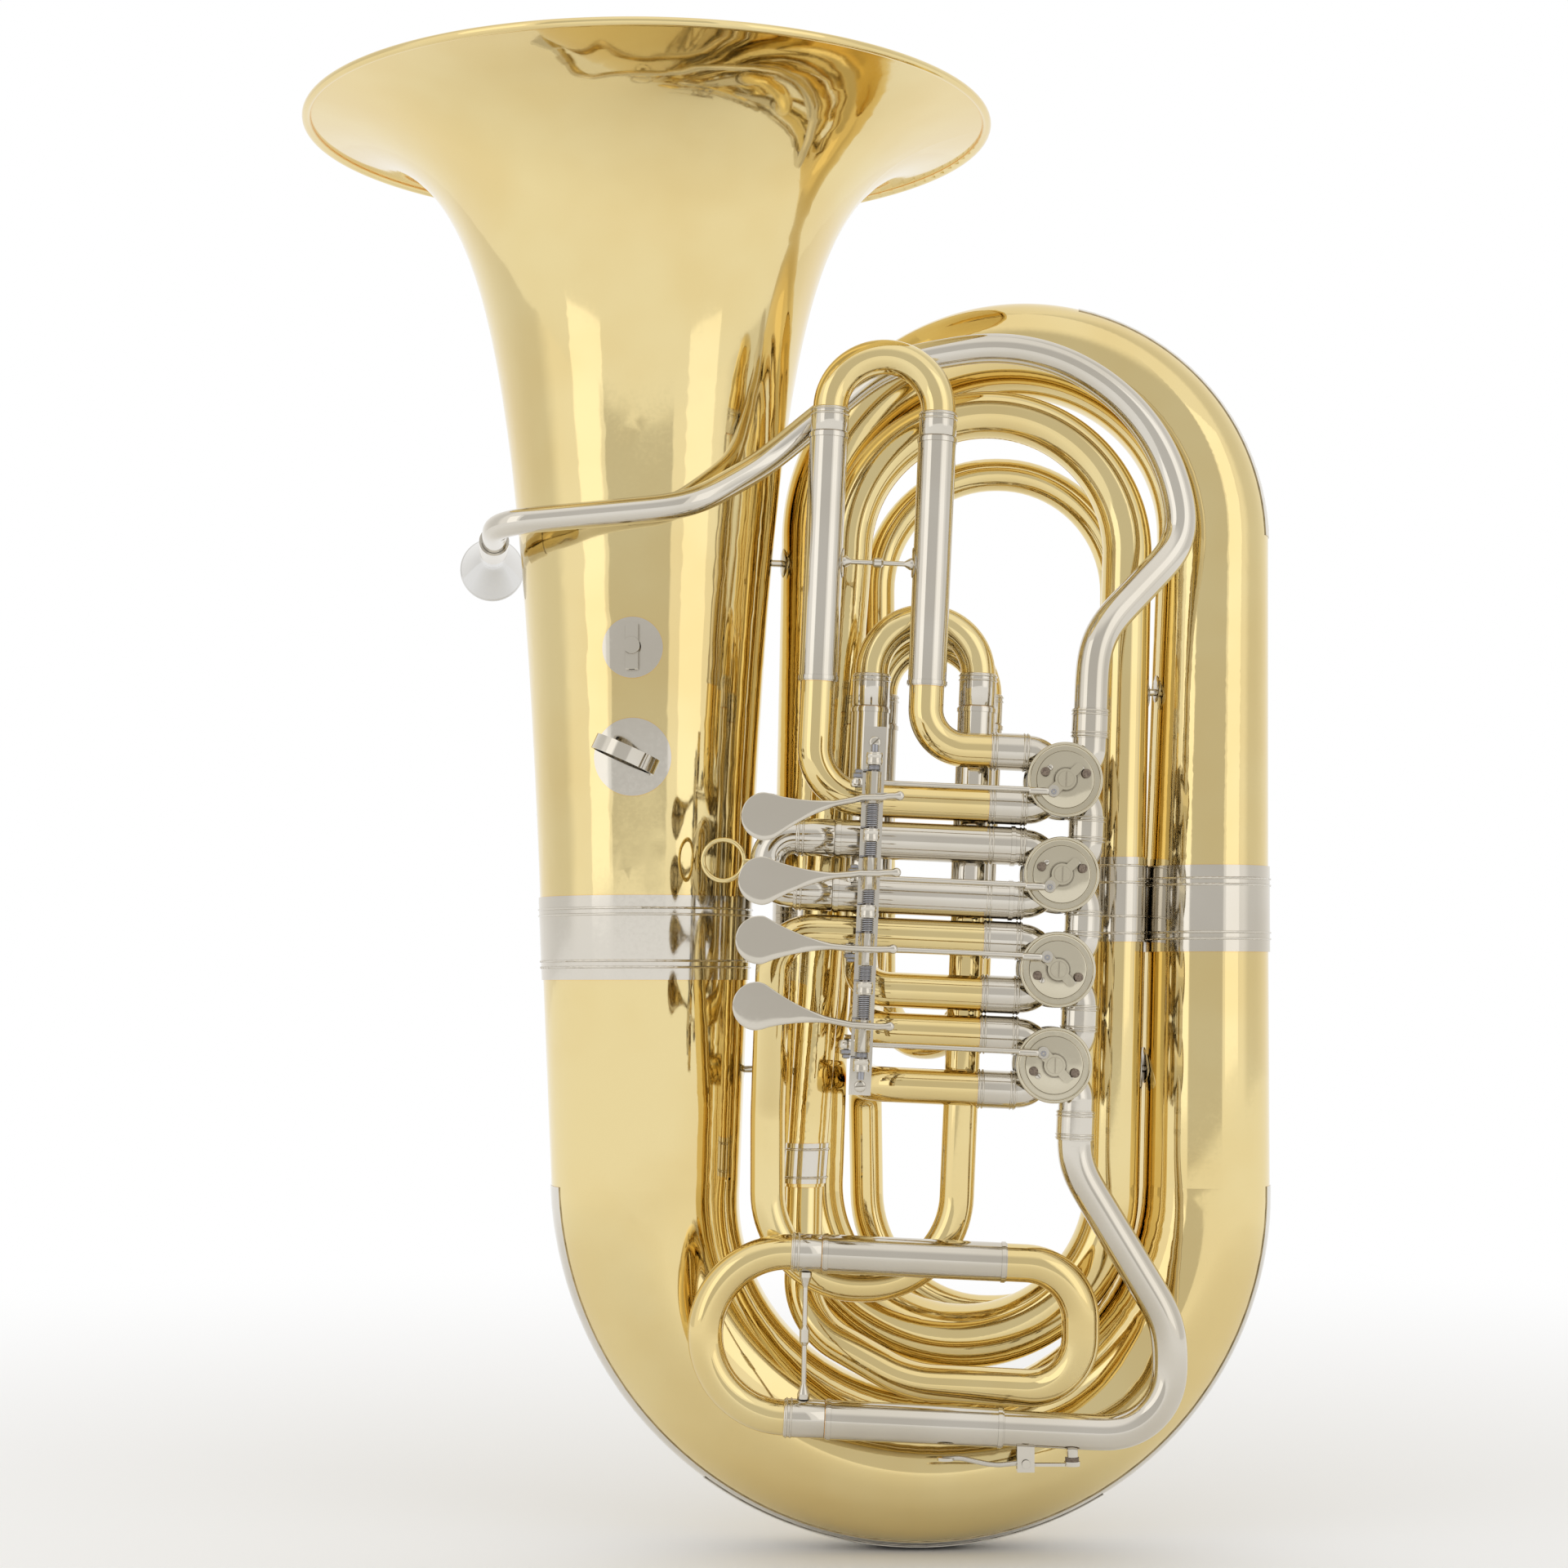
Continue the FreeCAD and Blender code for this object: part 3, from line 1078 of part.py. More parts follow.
def build_braces():
    """Posts between neighbouring tubes, trimmed to the tubes' surfaces."""
    z_big = size("big_bow_z")
    rear, front = size("top_bow_rear_y"), size("inner_branch_y")
    spans = [
        ("brace_one_z", -170, -63, rear),
        ("brace_two_z", -169.8, -70, rear),
        ("brace_three_z", 177, 121.6, front),
        ("brace_four_z", 171, 114.4, front),
    ]
    pairs = [(Vector(start, 0, size(alias)), Vector(end, y, size(alias)))
             for alias, start, end, y in spans]
    posts = [Part.makeCylinder(size("brace_radius"), (end - start).Length, start, end - start)
             for start, end in pairs]
    solids = [tube_core(start, end) for start, end in (
        ((-size("big_bow_radius"), 0, z_big, size("big_bow_start")),
         (size("bell_axis_x"), 0, size("bell_foot_z"), horn_radius(size("bell_foot_z")))),
        ((size("small_bow_x") - size("small_bow_radius"), rear, z_big, size("small_bow_start")),
         (size("top_bow_x") - size("top_bow_radius"), rear, size("top_bow_z"),
          size("top_bow_end"))),
        ((size("small_bow_x") + size("small_bow_radius"), front, z_big, size("small_bow_end")),
         (size("inner_bow_x") + size("inner_bow_radius"), front, size("inner_bow_z"),
          size("inner_bow_start"))),
        ((size("big_bow_radius"), 0, z_big, size("big_bow_end")),
         (size("big_bow_radius") + 3, 0, size("outer_leg_foot_z"), size("outer_leg_foot_radius"))),
        ((size("big_bow_radius") + 3, 0, size("outer_leg_foot_z"), size("outer_leg_foot_radius")),
         (size("top_bow_x") + size("top_bow_radius"), 0, size("top_bow_z"),
          size("top_bow_start"))),
    )]
    solids.append(bell_solid(0.05))
    trimmed = [single(post.cut(solids)) for post in posts]
    left, right = size("slide_one_left") + SLEEVE, size("slide_one_right") - SLEEVE
    trimmed.append(turned_post(here(left, 0, 207), here(right, 0, 207)))
    keep_group("braces", trimmed)


def tube_core(foot, head):
    """Solid the size of a leg, used to trim what stands on it."""
    return Part.makeLoft([level_circle(*foot[:3], foot[3] + 0.05),
                          level_circle(*head[:3], head[3] + 0.05)], True, True)


def build_water_key():
    """Nipple, saddle, key with its cork, below the outlet tube."""
    y, half = size("cluster_y"), size("main_slide_half")
    pad_x, pivot_x, tip_x = size("key_pad_x"), size("key_pivot_x"), size("key_tip_x")
    pivot_z, pin, pin_hole = size("key_pivot_z"), size("key_pin"), size("key_pin_bore")

    def tube_under(x):
        """Lowest line of the outlet tube at x."""
        return slide_point(x - size("main_slide_x"), -half).z - TUBE

    core = Part.makeCylinder(TUBE + 0.05, 260, slide_point(0, -half),
                             slide_point(1, -half) - slide_point(0, -half))
    nipple = Part.makeCylinder(
        size("nipple_radius"), 9, Vector(pad_x, y, tube_under(pad_x) - 4.5)).cut(
        Part.makeCylinder(size("nipple_bore"), 12, Vector(pad_x, y, tube_under(pad_x) - 6)))
    nipple = nipple.cut(core)
    cheek_wide, cheek_thick, cheek_tall, cheek_shift = 10, 1.4, 15, 3.6
    cheeks = []
    for side in (-1, 1):
        corner = Vector(pivot_x - cheek_wide / 2, y + side * cheek_shift - cheek_thick / 2,
                        pivot_z - cheek_tall / 3)
        cheeks.append(Part.makeBox(cheek_wide, cheek_thick, cheek_tall, corner))
    across = 2 * cheek_shift + cheek_thick
    bridge = Part.makeBox(cheek_wide, across, 3, Vector(
        pivot_x - cheek_wide / 2, y - across / 2, tube_under(pivot_x) - 1.5))
    pin_bore = Part.makeCylinder(pin_hole, 20, Vector(pivot_x, y - 10, pivot_z), Y_AXIS)
    saddle = cheeks[0].fuse([cheeks[1], bridge]).cut([core, pin_bore])
    pin_start = Vector(pivot_x, y - 5.2, pivot_z)
    shank = Part.makeCylinder(pin, 10.4, pin_start, Y_AXIS)
    head = Part.makeCylinder(2.3, 1.2, pin_start, Vector(0, -1, 0))
    screw = single(shank.fuse(head).removeSplitter())
    keep_group("water_key_saddle", [single(saddle.removeSplitter()), single(nipple), screw])

    hub_half, arm_wide, arm_thick, rod = 2.6, 3.2, 1.8, 1.5
    hub = straight_tube(Vector(pivot_x, y - hub_half, pivot_z),
                        Vector(pivot_x, y + hub_half, pivot_z), size("key_hub"), pin_hole)
    cork_top = tube_under(pad_x) - 4.5 - size("key_cork_gap")
    arm = Part.makeBox(pad_x - pivot_x, arm_wide, arm_thick,
                       Vector(pivot_x, y - arm_wide / 2, cork_top - 5.2))
    cup = Part.makeCylinder(size("key_cup"), 2.6, Vector(pad_x, y, cork_top - 5))
    handle = [Vector(pivot_x - hub_half, y, pivot_z), Vector(pivot_x - 18, y, pivot_z - 1.6),
              Vector(tip_x + 10, y, pivot_z + 2.8), Vector(tip_x, y, pivot_z + 2.2)]
    lever = bent_rod(handle, [40, 20], rod)
    finger = Part.makeCylinder(5, arm_thick, Vector(tip_x + 2, y, pivot_z + 1.3))
    bore = Part.makeCylinder(pin_hole, 12, Vector(pivot_x, y - 6, pivot_z), Y_AXIS)
    key = single(hub.fuse([arm, cup, lever, finger]).cut(bore).removeSplitter())
    keep_shape("water_key", key)
    keep_shape("water_key_cork", Part.makeCylinder(
        size("key_cork"), 2.35, Vector(pad_x, y, cork_top - 2.4)))


def build_sleeves(spans):
    tubes = []
    for pair in spans:
        tubes += sleeve_pair(pair)
    keep_group("slide_sleeves", tubes)


def check_and_write():
    """Stop on any failed object or bad shape, then write every sub-part."""
    DOC.recompute()
    for obj in DOC.Objects:
        if "Invalid" in obj.State or "Error" in obj.State:
            raise RuntimeError("failed object: %s %s" % (obj.Name, obj.State))
    for node in NODES:
        if node.Shape.isNull() or not node.Shape.isValid() or not node.Shape.Solids:
            raise RuntimeError("bad shape: %s" % node.Label)
    os.makedirs("parts", exist_ok=True)
    for node in NODES:
        node.Shape.exportStep("parts/%s.step" % node.Label)
        print("%-24s solids %2d  volume %9.1f" % (
            node.Label, len(node.Shape.Solids), node.Shape.Volume))
    print("sub-parts:", len(NODES))


build_bell()
build_branch()
build_casings(build_knuckles())
build_rotors()
build_rear_parts()
build_stop_work()
SPANS = [build_first_slide(), build_second_slide(), build_third_slide(), build_fourth_loop(),
         build_main_slide()]
build_sleeves(SPANS)
build_outlet()
build_leadpipe()
for valve_number in range(4):
    build_lever(valve_number)
    build_rod(valve_number)
build_lever_rail()
build_guards()
build_lyre_socket()
build_hand_ring()
build_braces()
build_water_key()
check_and_write()
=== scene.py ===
"""Looks of the rotary tuba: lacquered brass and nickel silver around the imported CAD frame.

Lengths are in metres, in the frame of the CAD part: +Z up, the bell opening upwards, the valves
facing -Y and the lowest point of the bottom guard at Z = 0.
"""

import json
import math

import bmesh
import bpy
import numpy as np
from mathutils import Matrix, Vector
from mathutils.bvhtree import BVHTree


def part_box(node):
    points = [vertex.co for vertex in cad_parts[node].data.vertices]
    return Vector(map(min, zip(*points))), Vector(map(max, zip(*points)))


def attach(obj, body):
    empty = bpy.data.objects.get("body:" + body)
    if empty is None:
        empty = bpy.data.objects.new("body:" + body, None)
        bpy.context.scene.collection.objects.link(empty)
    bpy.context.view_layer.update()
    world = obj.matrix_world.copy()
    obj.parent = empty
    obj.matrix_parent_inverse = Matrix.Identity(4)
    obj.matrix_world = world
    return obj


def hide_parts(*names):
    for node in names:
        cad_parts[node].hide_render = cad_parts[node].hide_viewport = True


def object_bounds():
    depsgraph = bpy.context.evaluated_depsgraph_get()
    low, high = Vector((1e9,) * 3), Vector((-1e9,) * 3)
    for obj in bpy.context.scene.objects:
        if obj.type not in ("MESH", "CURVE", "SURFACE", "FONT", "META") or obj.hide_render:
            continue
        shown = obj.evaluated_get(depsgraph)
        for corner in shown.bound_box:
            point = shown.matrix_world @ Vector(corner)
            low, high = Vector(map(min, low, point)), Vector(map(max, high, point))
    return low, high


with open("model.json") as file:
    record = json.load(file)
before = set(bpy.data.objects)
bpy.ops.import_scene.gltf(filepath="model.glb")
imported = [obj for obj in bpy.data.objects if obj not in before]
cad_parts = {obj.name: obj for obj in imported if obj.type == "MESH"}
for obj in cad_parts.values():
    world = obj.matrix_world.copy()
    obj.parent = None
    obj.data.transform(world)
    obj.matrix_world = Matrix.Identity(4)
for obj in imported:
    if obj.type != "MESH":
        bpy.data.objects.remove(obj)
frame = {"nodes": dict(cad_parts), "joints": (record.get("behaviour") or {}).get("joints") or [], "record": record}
CAD_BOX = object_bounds()
NODES = frame["nodes"]
RECORD = frame["record"]
BODY = {node: body for body, nodes in RECORD["behaviour"]["bodies"].items() for node in nodes}

MM = 0.001
SCENE = bpy.context.scene
FRONT = Vector((0, -1, 0))

# Camera: in front of the horn, looking slightly upwards; lens and sensor in mm.
CAMERA_PLACE = Vector((-0.0854, -1.820, 0.336))
CAMERA_PITCH = math.radians(3.93)
CAMERA_LENS = 68.25
SENSOR = 36

JOINTS = {joint["child"]: joint for joint in frame["joints"]}
TREES = {}

# Studio: half widths and heights of the tent's darker field, in degrees, and its brightness.
FIELD_OFFSET = 6
FIELD_EDGE = (29, 31)
FIELD_TOP = (30, 52)
PANEL_EDGE = (68, 84)
SIDE_EDGE = (95, 150)
SIDE_LIGHT = (0.80, 0.98)
PANEL_LIGHT = 0.24
FIELD_DIP = 0.36
FLOOR_RADIUS = 9
FLOOR_FADE = (0.35, 1.9)

# Valve cluster: its middle, its lean and the sizes that the pieces around it follow, in mm.
TOP_VALVE, LOW_VALVE = (Vector(JOINTS[name]["pos_m"]) for name in ("rotor_1", "rotor_4"))
CLUSTER_MIDDLE = (TOP_VALVE + LOW_VALVE) / 2
CLUSTER_UP = (TOP_VALVE - LOW_VALVE).normalized()
CLUSTER_RIGHT = Vector((0, 1, 0)).cross(CLUSTER_UP)
PORT_TUBE = 10.25
PORT_RISE = 15.9
MAIN_SHIFT = 15
CASING_PLATE = 22
ROD_CUP = 3.2
PLATE_SCREW_TURN = 36
PLATE_SCREW_OUT = 11.2
AXLE_BORE = 2.05
SPRING_WIRE = 0.5
SPRING_PITCH = 1.16
SPRING_LEG = 9
RAIL_NUTS = (87, 43.5, 0, -43.5, -87)
RAIL_SCREWS = ((97, 0.9), (-99, 0.2))
RAIL_FACE = 7

# Levers: sections along the arm and round it, the hub they leave out, where the front part ends,
# and the widths between which a round arm turns into a flat plate, in mm.
LEVER_STEPS = 60
LEVER_SIDES = 28
LEVER_HUB = 5.2
LEVER_ENDS = 0.15
LEVER_FRONT = 1.5
LEVER_CUT = 4.15
ROUND_ARM, FLAT_FROM, FLATNESS = 2.2, 4, 0.62

# Slide collars and solder ferrules, in mm.
COLLAR_RADII = (10, 14)
COLLAR_LONGEST = 30
COLLAR_WALL = 1.25
COLLAR_BEAD, COLLAR_BEADS = 0.62, (4.2, 1.6)
FERRULE_BEAD, FERRULE_BEADS = 0.55, (1.1, 3.1)
FERRULE_SPAN = (-43, -20.5)
MAIN_FERRULE = (26, 43)
BETWEEN_VALVES = 8
FERRULE_WALL = 0.75
FERRULE_GAP = 0.02

# Screw heads, as shares of the radius and of the depth.
SLOT_HALF = 0.13
HEAD_LEVELS = ((1.0, 0.0), (1.0, 0.62), (0.9, 0.85), (0.7, 1.0))
SLOT_FLOOR = 0.4

# Turned parts, as (radius, distance along the axis) in mm.
RIM_INNER, RIM_BEAD = 2.4, (0.95, 0.9, 0.35)
FACE_RING = (16.9, 0.28, 0.2)
STOP_PLATE = ((16.5, -0.4), (16.5, 0.06), (16.2, 0.16), (7.2, 0.16), (6.8, -0.4))
ROD_SOCKET = ((1.9, -1.5), (3.25, -1.5), (3.4, -1.1), (3.4, 1.1), (3.1, 1.6), (2.5, 1.6),
              (2.3, 1.0), (1.9, 0.8))
ROD_SLEEVE = ((0, 0), (2.0, 0), (2.15, 0.4), (2.15, 10.5), (1.7, 11.2), (0, 11.2))
BALL_RADIUS = 2.25
BALL_CENTRE_MARK = ((0.85, 1.95), (0.8, 1.2), (0, 1.2))
STUD_SOCKET = ((3.0, -2.4), (3.8, -2.4), (4.4, -1.5), (4.4, 1.5), (3.8, 2.4), (3.0, 2.4))
STUD_NUT = ((1.2, 0), (3.5, 0), (3.8, 0.4), (3.8, 2.2), (3.2, 2.8), (2.4, 3.2), (2.4, 4.6),
            (1.6, 5.2), (0, 5.2))
STUD_NUT_RISE = 2.8
RAIL_NUT = ((AXLE_BORE, 0), (4.3, 0), (4.75, 0.7), (4.75, 2.4), (4.35, 3.3), (4.75, 4.2),
            (4.75, 5.9), (4.3, 6.6), (AXLE_BORE, 6.6))

# Routes of the bent tubes and the radii of their bends, in mm.
LEADPIPE_START = ((-261.5, -30, 604), (-254, -98, 607), (-140, -98, 617.5), (-98, -68, 647),
                  (-24, -50, 711.5))
LEADPIPE_DOWN = (155.5, -52, 604)
LEADPIPE_LOW = 169
BOW_MIDDLE = (40, -50, 607)
BOW_ARC = 114
BOW_CORNERS = (77.5, 32.5)
LEADPIPE_BENDS = (21, 45, 60, 70, BOW_ARC - 3, BOW_ARC - 3, 36, 44)
LEADPIPE_THIN = 7.3
SLIDE_MIDDLE = (-83.5, -80, 135.8)
SLIDE_HALF = 47.5
SLIDE_CORNER, SLIDE_END = 224, 127
OUTLET_CORNERS = (-140, 142)
OUTLET_BENDS = (42, 50, 36)
PORT_STUB = 30

# How far out a flange looks for its surface from, and how far in, in metres.
HUG_START, HUG_REACH = 0.04, 0.12
HUG_EDGE, HUG_FOOT = 0.55, -0.3 * MM

# Flanges under the braces: half sizes and thickness in mm, pointedness, and what they lie on.
FLANGE_WIDE, FLANGE_TALL, FLANGE_LIFT = 6.5, 9.0, 0.8
FLANGE_TIP = 0.12
BRACED = ("bell", "bottom_bow", "outer_leg", "inner_left_leg", "inner_right_leg",
          "slide_sleeves", "outer_top_bow")

# Colours, linear: the two tones of each metal, its painted crease shade tinted like tarnish, and the other stuffs.
BRASS = (0.81, 0.665, 0.335)
BRASS_DEEP = (0.78, 0.615, 0.285)
NICKEL = (0.69, 0.65, 0.575)
NICKEL_DEEP = (0.63, 0.585, 0.50)
# Painted reflection: darker, warmer nickel for the valve faces and stop parts, standing in for the warm reflection
# they show.
NICKEL_WARM_REFLECTION = (0.655, 0.60, 0.465)
NICKEL_WARM_REFLECTION_DEEP = (0.61, 0.55, 0.41)
BRASS_SHADE_AND_TARNISH = (0.74, 0.34, 0.05)
NICKEL_SHADE_AND_TARNISH = (0.20, 0.165, 0.115)
SILVER = (0.70, 0.69, 0.665)
STEEL = (0.36, 0.36, 0.38)
CORK = (0.235, 0.18, 0.135)
# Painted shade: how far the ambient occlusion that darkens creases looks, in metres, and the occlusion range over
# which that darkening fades out.
CREASE_REACH = 0.003
CREASE_OPEN = (0.12, 0.8)
COAT_ROUGHNESS = 0.04
LINE_STRETCH = (1.0, 1.0, 26.0)


# ---------------------------------------------------------------- camera, light and floor

def make_camera():
    """Long lens level with the lower third of the horn."""
    data = bpy.data.cameras.new("Camera")
    data.lens = CAMERA_LENS
    data.sensor_width = SENSOR
    data.clip_end = 50
    camera = bpy.data.objects.new("Camera", data)
    camera.location = CAMERA_PLACE
    camera.rotation_euler = (math.pi / 2 + CAMERA_PITCH, 0, 0)
    SCENE.collection.objects.link(camera)
    SCENE.camera = camera


def link(tree, start, out, end, into):
    """Join an output socket of one node to an input of another."""
    tree.links.new(start.outputs[out], end.inputs[into])


def node(tree, kind, **settings):
    """Shader node with its plain settings and unlinked input values."""
    made = tree.nodes.new(kind)
    for key, value in settings.items():
        if isinstance(key, str) and hasattr(made, key):
            setattr(made, key, value)
        else:
            made.inputs[key].default_value = value
    return made


def math_node(tree, operation, first, second=None):
    """Math node whose operands are numbers or (node, output) pairs."""
    made = tree.nodes.new("ShaderNodeMath")
    made.operation = operation
    for index, value in enumerate((first, second)):
        if value is None:
            continue
        if isinstance(value, tuple):
            tree.links.new(value[0].outputs[value[1]], made.inputs[index])
        else:
            made.inputs[index].default_value = value
    return made, 0


def ramp(tree, value, low, high, first=0.0, last=1.0):
    """Smooth step of a value from one level to another."""
    made = tree.nodes.new("ShaderNodeMapRange")
    made.interpolation_type = "SMOOTHSTEP"
    tree.links.new(value[0].outputs[value[1]], made.inputs["Value"])
    for key, number in (("From Min", low), ("From Max", high), ("To Min", first), ("To Max", last)):
        made.inputs[key].default_value = number
    return made, "Result"


def make_world():
    """Bright tent with a dimmer field around the camera; plain white where the camera sees it."""
    world = bpy.data.worlds.new("Studio")
    world.use_nodes = True
    tree = world.node_tree
    tree.nodes.clear()
    place = tree.nodes.new("ShaderNodeTexCoord")
    axes = tree.nodes.new("ShaderNodeSeparateXYZ")
    link(tree, place, "Generated", axes, 0)
    back = math_node(tree, "MULTIPLY", (axes, "Y"), -1)
    turn = math_node(tree, "ARCTAN2", (axes, "X"), back)
    aside = math_node(tree, "ADD", turn, math.radians(FIELD_OFFSET))
    off_axis = math_node(tree, "ABSOLUTE", aside)
    height = math_node(tree, "ABSOLUTE", math_node(tree, "ARCSINE", (axes, "Z")))
    narrow = ramp(tree, off_axis, *map(math.radians, FIELD_EDGE), 1, 0)
    low = ramp(tree, height, *map(math.radians, FIELD_TOP), 1, 0)
    dip = math_node(tree, "MULTIPLY", narrow, low)
    panel = ramp(tree, off_axis, *map(math.radians, PANEL_EDGE), 1, 0)
    side = ramp(tree, off_axis, *map(math.radians, SIDE_EDGE), *SIDE_LIGHT)
    lit = math_node(tree, "ADD", side, math_node(tree, "MULTIPLY", panel, PANEL_LIGHT))
    level = math_node(tree, "SUBTRACT", lit, math_node(tree, "MULTIPLY", dip, FIELD_DIP))
    tent = node(tree, "ShaderNodeBackground", Color=(1.0, 0.99, 0.975, 1))
    tree.links.new(level[0].outputs[0], tent.inputs["Strength"])
    plain = node(tree, "ShaderNodeBackground", Color=(1, 1, 1, 1), Strength=1.0)
    path = tree.nodes.new("ShaderNodeLightPath")
    mix = tree.nodes.new("ShaderNodeMixShader")
    link(tree, path, "Is Camera Ray", mix, 0)
    link(tree, tent, 0, mix, 1)
    link(tree, plain, 0, mix, 2)
    out = tree.nodes.new("ShaderNodeOutputWorld")
    link(tree, mix, 0, out, "Surface")
    SCENE.world = world


def make_light(name, place, target, width, height, power):
    """Large soft area light aimed at the instrument."""
    data = bpy.data.lights.new(name, "AREA")
    data.shape = "RECTANGLE"
    data.size = width
    data.size_y = height
    data.energy = power
    light = bpy.data.objects.new(name, data)
    light.location = place
    light.rotation_euler = (Vector(target) - Vector(place)).to_track_quat("-Z", "Y").to_euler()
    SCENE.collection.objects.link(light)


def make_floor():
    """Pale round floor that melts into the white surround away from the instrument."""
    mesh = bpy.data.meshes.new("floor")
    work = bmesh.new()
    bmesh.ops.create_circle(work, cap_ends=True, segments=96, radius=FLOOR_RADIUS)
    work.to_mesh(mesh)
    work.free()
    floor = bpy.data.objects.new("floor", mesh)
    floor.location = (0, 0, CAD_BOX[0][2] - 0.1 * MM)
    material = bpy.data.materials.new("floor")
    material.use_nodes = True
    tree = material.node_tree
    tree.nodes.clear()
    place = tree.nodes.new("ShaderNodeTexCoord")
    reach = tree.nodes.new("ShaderNodeVectorMath")
    reach.operation = "LENGTH"
    link(tree, place, "Object", reach, 0)
    fade = ramp(tree, (reach, "Value"), *FLOOR_FADE)
    matt = node(tree, "ShaderNodeBsdfDiffuse", Color=(0.93, 0.93, 0.925, 1))
    glow = node(tree, "ShaderNodeEmission", Color=(1, 1, 1, 1), Strength=1.0)
    mix = tree.nodes.new("ShaderNodeMixShader")
    tree.links.new(fade[0].outputs[fade[1]], mix.inputs[0])
    link(tree, matt, 0, mix, 1)
    link(tree, glow, 0, mix, 2)
    out = tree.nodes.new("ShaderNodeOutputMaterial")
    link(tree, mix, 0, out, "Surface")
    mesh.materials.append(material)
    SCENE.collection.objects.link(floor)


# ---------------------------------------------------------------- materials

def blend(tree, share, first):
    """Colour mix by the share of a value, starting from one plain colour."""
    made = tree.nodes.new("ShaderNodeMix")
    made.data_type = "RGBA"
    made.inputs["A"].default_value = (*first, 1)
    tree.links.new(share[0].outputs[share[1]], made.inputs["Factor"])
    return made


def colour_metal(tree, shader, cloud, light, deep, shade_and_tarnish):
    """Cloudy tone between two colours, darkened by painted shade tinted like tarnish where the surface is closed
    in.
    """
    tone = blend(tree, ramp(tree, (cloud, "Fac"), 0.35, 0.65), deep)
    tone.inputs["B"].default_value = (*light, 1)
    # Painted shade: ambient occlusion pulls the colour towards the dark tarnish tint in creases and between parts,
    # where shade falls.
    crease_shade = tree.nodes.new("ShaderNodeAmbientOcclusion")
    crease_shade.samples = 4
    crease_shade.inputs["Distance"].default_value = CREASE_REACH
    shaded_and_aged = blend(tree, ramp(tree, (crease_shade, "AO"), *CREASE_OPEN), shade_and_tarnish)
    link(tree, tone, "Result", shaded_and_aged, "B")
    link(tree, shaded_and_aged, "Result", shader, "Base Color")


def ripple_metal(tree, shader, place, wave, lines):
    """Soft waves in the surface, and drawn lines along Z where wanted."""
    ripple = node(tree, "ShaderNodeTexNoise", Scale=24, Detail=2, Roughness=0.5)
    link(tree, place, "Object", ripple, "Vector")
    height = (ripple, "Fac")
    if lines:
        grain = node(tree, "ShaderNodeTexNoise", Scale=60, Detail=6, Roughness=0.7)
        stretch = tree.nodes.new("ShaderNodeMapping")
        stretch.inputs["Scale"].default_value = LINE_STRETCH
        link(tree, place, "Object", stretch, "Vector")
        link(tree, stretch, 0, grain, "Vector")
        height = math_node(tree, "ADD", height, math_node(tree, "MULTIPLY", (grain, "Fac"), lines))
    bump = node(tree, "ShaderNodeBump", Strength=wave, Distance=0.002)
    tree.links.new(height[0].outputs[height[1]], bump.inputs["Height"])
    link(tree, bump, "Normal", shader, "Normal")


def metal(name, light, deep, shade_and_tarnish, rough, wave=0.02, lines=0.0, coat=0.0):
    """Polished metal: cloudy tone, painted shade with a tarnish tint in the creases, uneven polish and soft waves.
    """
    material = bpy.data.materials.new(name)
    material.use_nodes = True
    tree = material.node_tree
    shader = tree.nodes["Principled BSDF"]
    shader.inputs["Metallic"].default_value = 1.0
    if coat:
        shader.inputs["Coat Weight"].default_value = coat
        shader.inputs["Coat Roughness"].default_value = COAT_ROUGHNESS
    place = tree.nodes.new("ShaderNodeTexCoord")
    cloud = node(tree, "ShaderNodeTexNoise", Scale=9, Detail=3, Roughness=0.55)
    fine = node(tree, "ShaderNodeTexNoise", Scale=420, Detail=4, Roughness=0.6)
    for texture in (cloud, fine):
        link(tree, place, "Object", texture, "Vector")
    colour_metal(tree, shader, cloud, light, deep, shade_and_tarnish)
    dull = ramp(tree, (fine, "Fac"), 0.4, 0.75, rough, rough * 1.8)
    worn = ramp(tree, (cloud, "Fac"), 0.3, 0.7, 0.8, 1.25)
    rougher = math_node(tree, "MULTIPLY", dull, worn)
    tree.links.new(rougher[0].outputs[0], shader.inputs["Roughness"])
    ripple_metal(tree, shader, place, wave, lines)
    return material


def cork_material():
    """Pressed cork: brown granules with pits."""
    material = bpy.data.materials.new("cork")
    material.use_nodes = True
    tree = material.node_tree
    shader = tree.nodes["Principled BSDF"]
    shader.inputs["Roughness"].default_value = 0.85
    place = tree.nodes.new("ShaderNodeTexCoord")
    grains = node(tree, "ShaderNodeTexVoronoi", Scale=1400)
    link(tree, place, "Object", grains, "Vector")
    colours = tree.nodes.new("ShaderNodeValToRGB")
    colours.color_ramp.elements[0].color = (CORK[0] * 0.45, CORK[1] * 0.4, CORK[2] * 0.4, 1)
    colours.color_ramp.elements[1].color = (CORK[0] * 1.25, CORK[1] * 1.3, CORK[2] * 1.3, 1)
    link(tree, grains, "Color", colours, "Fac")
    link(tree, colours, 0, shader, "Base Color")
    bump = node(tree, "ShaderNodeBump", Strength=0.5, Distance=0.0003)
    link(tree, grains, "Distance", bump, "Height")
    link(tree, bump, "Normal", shader, "Normal")
    return material


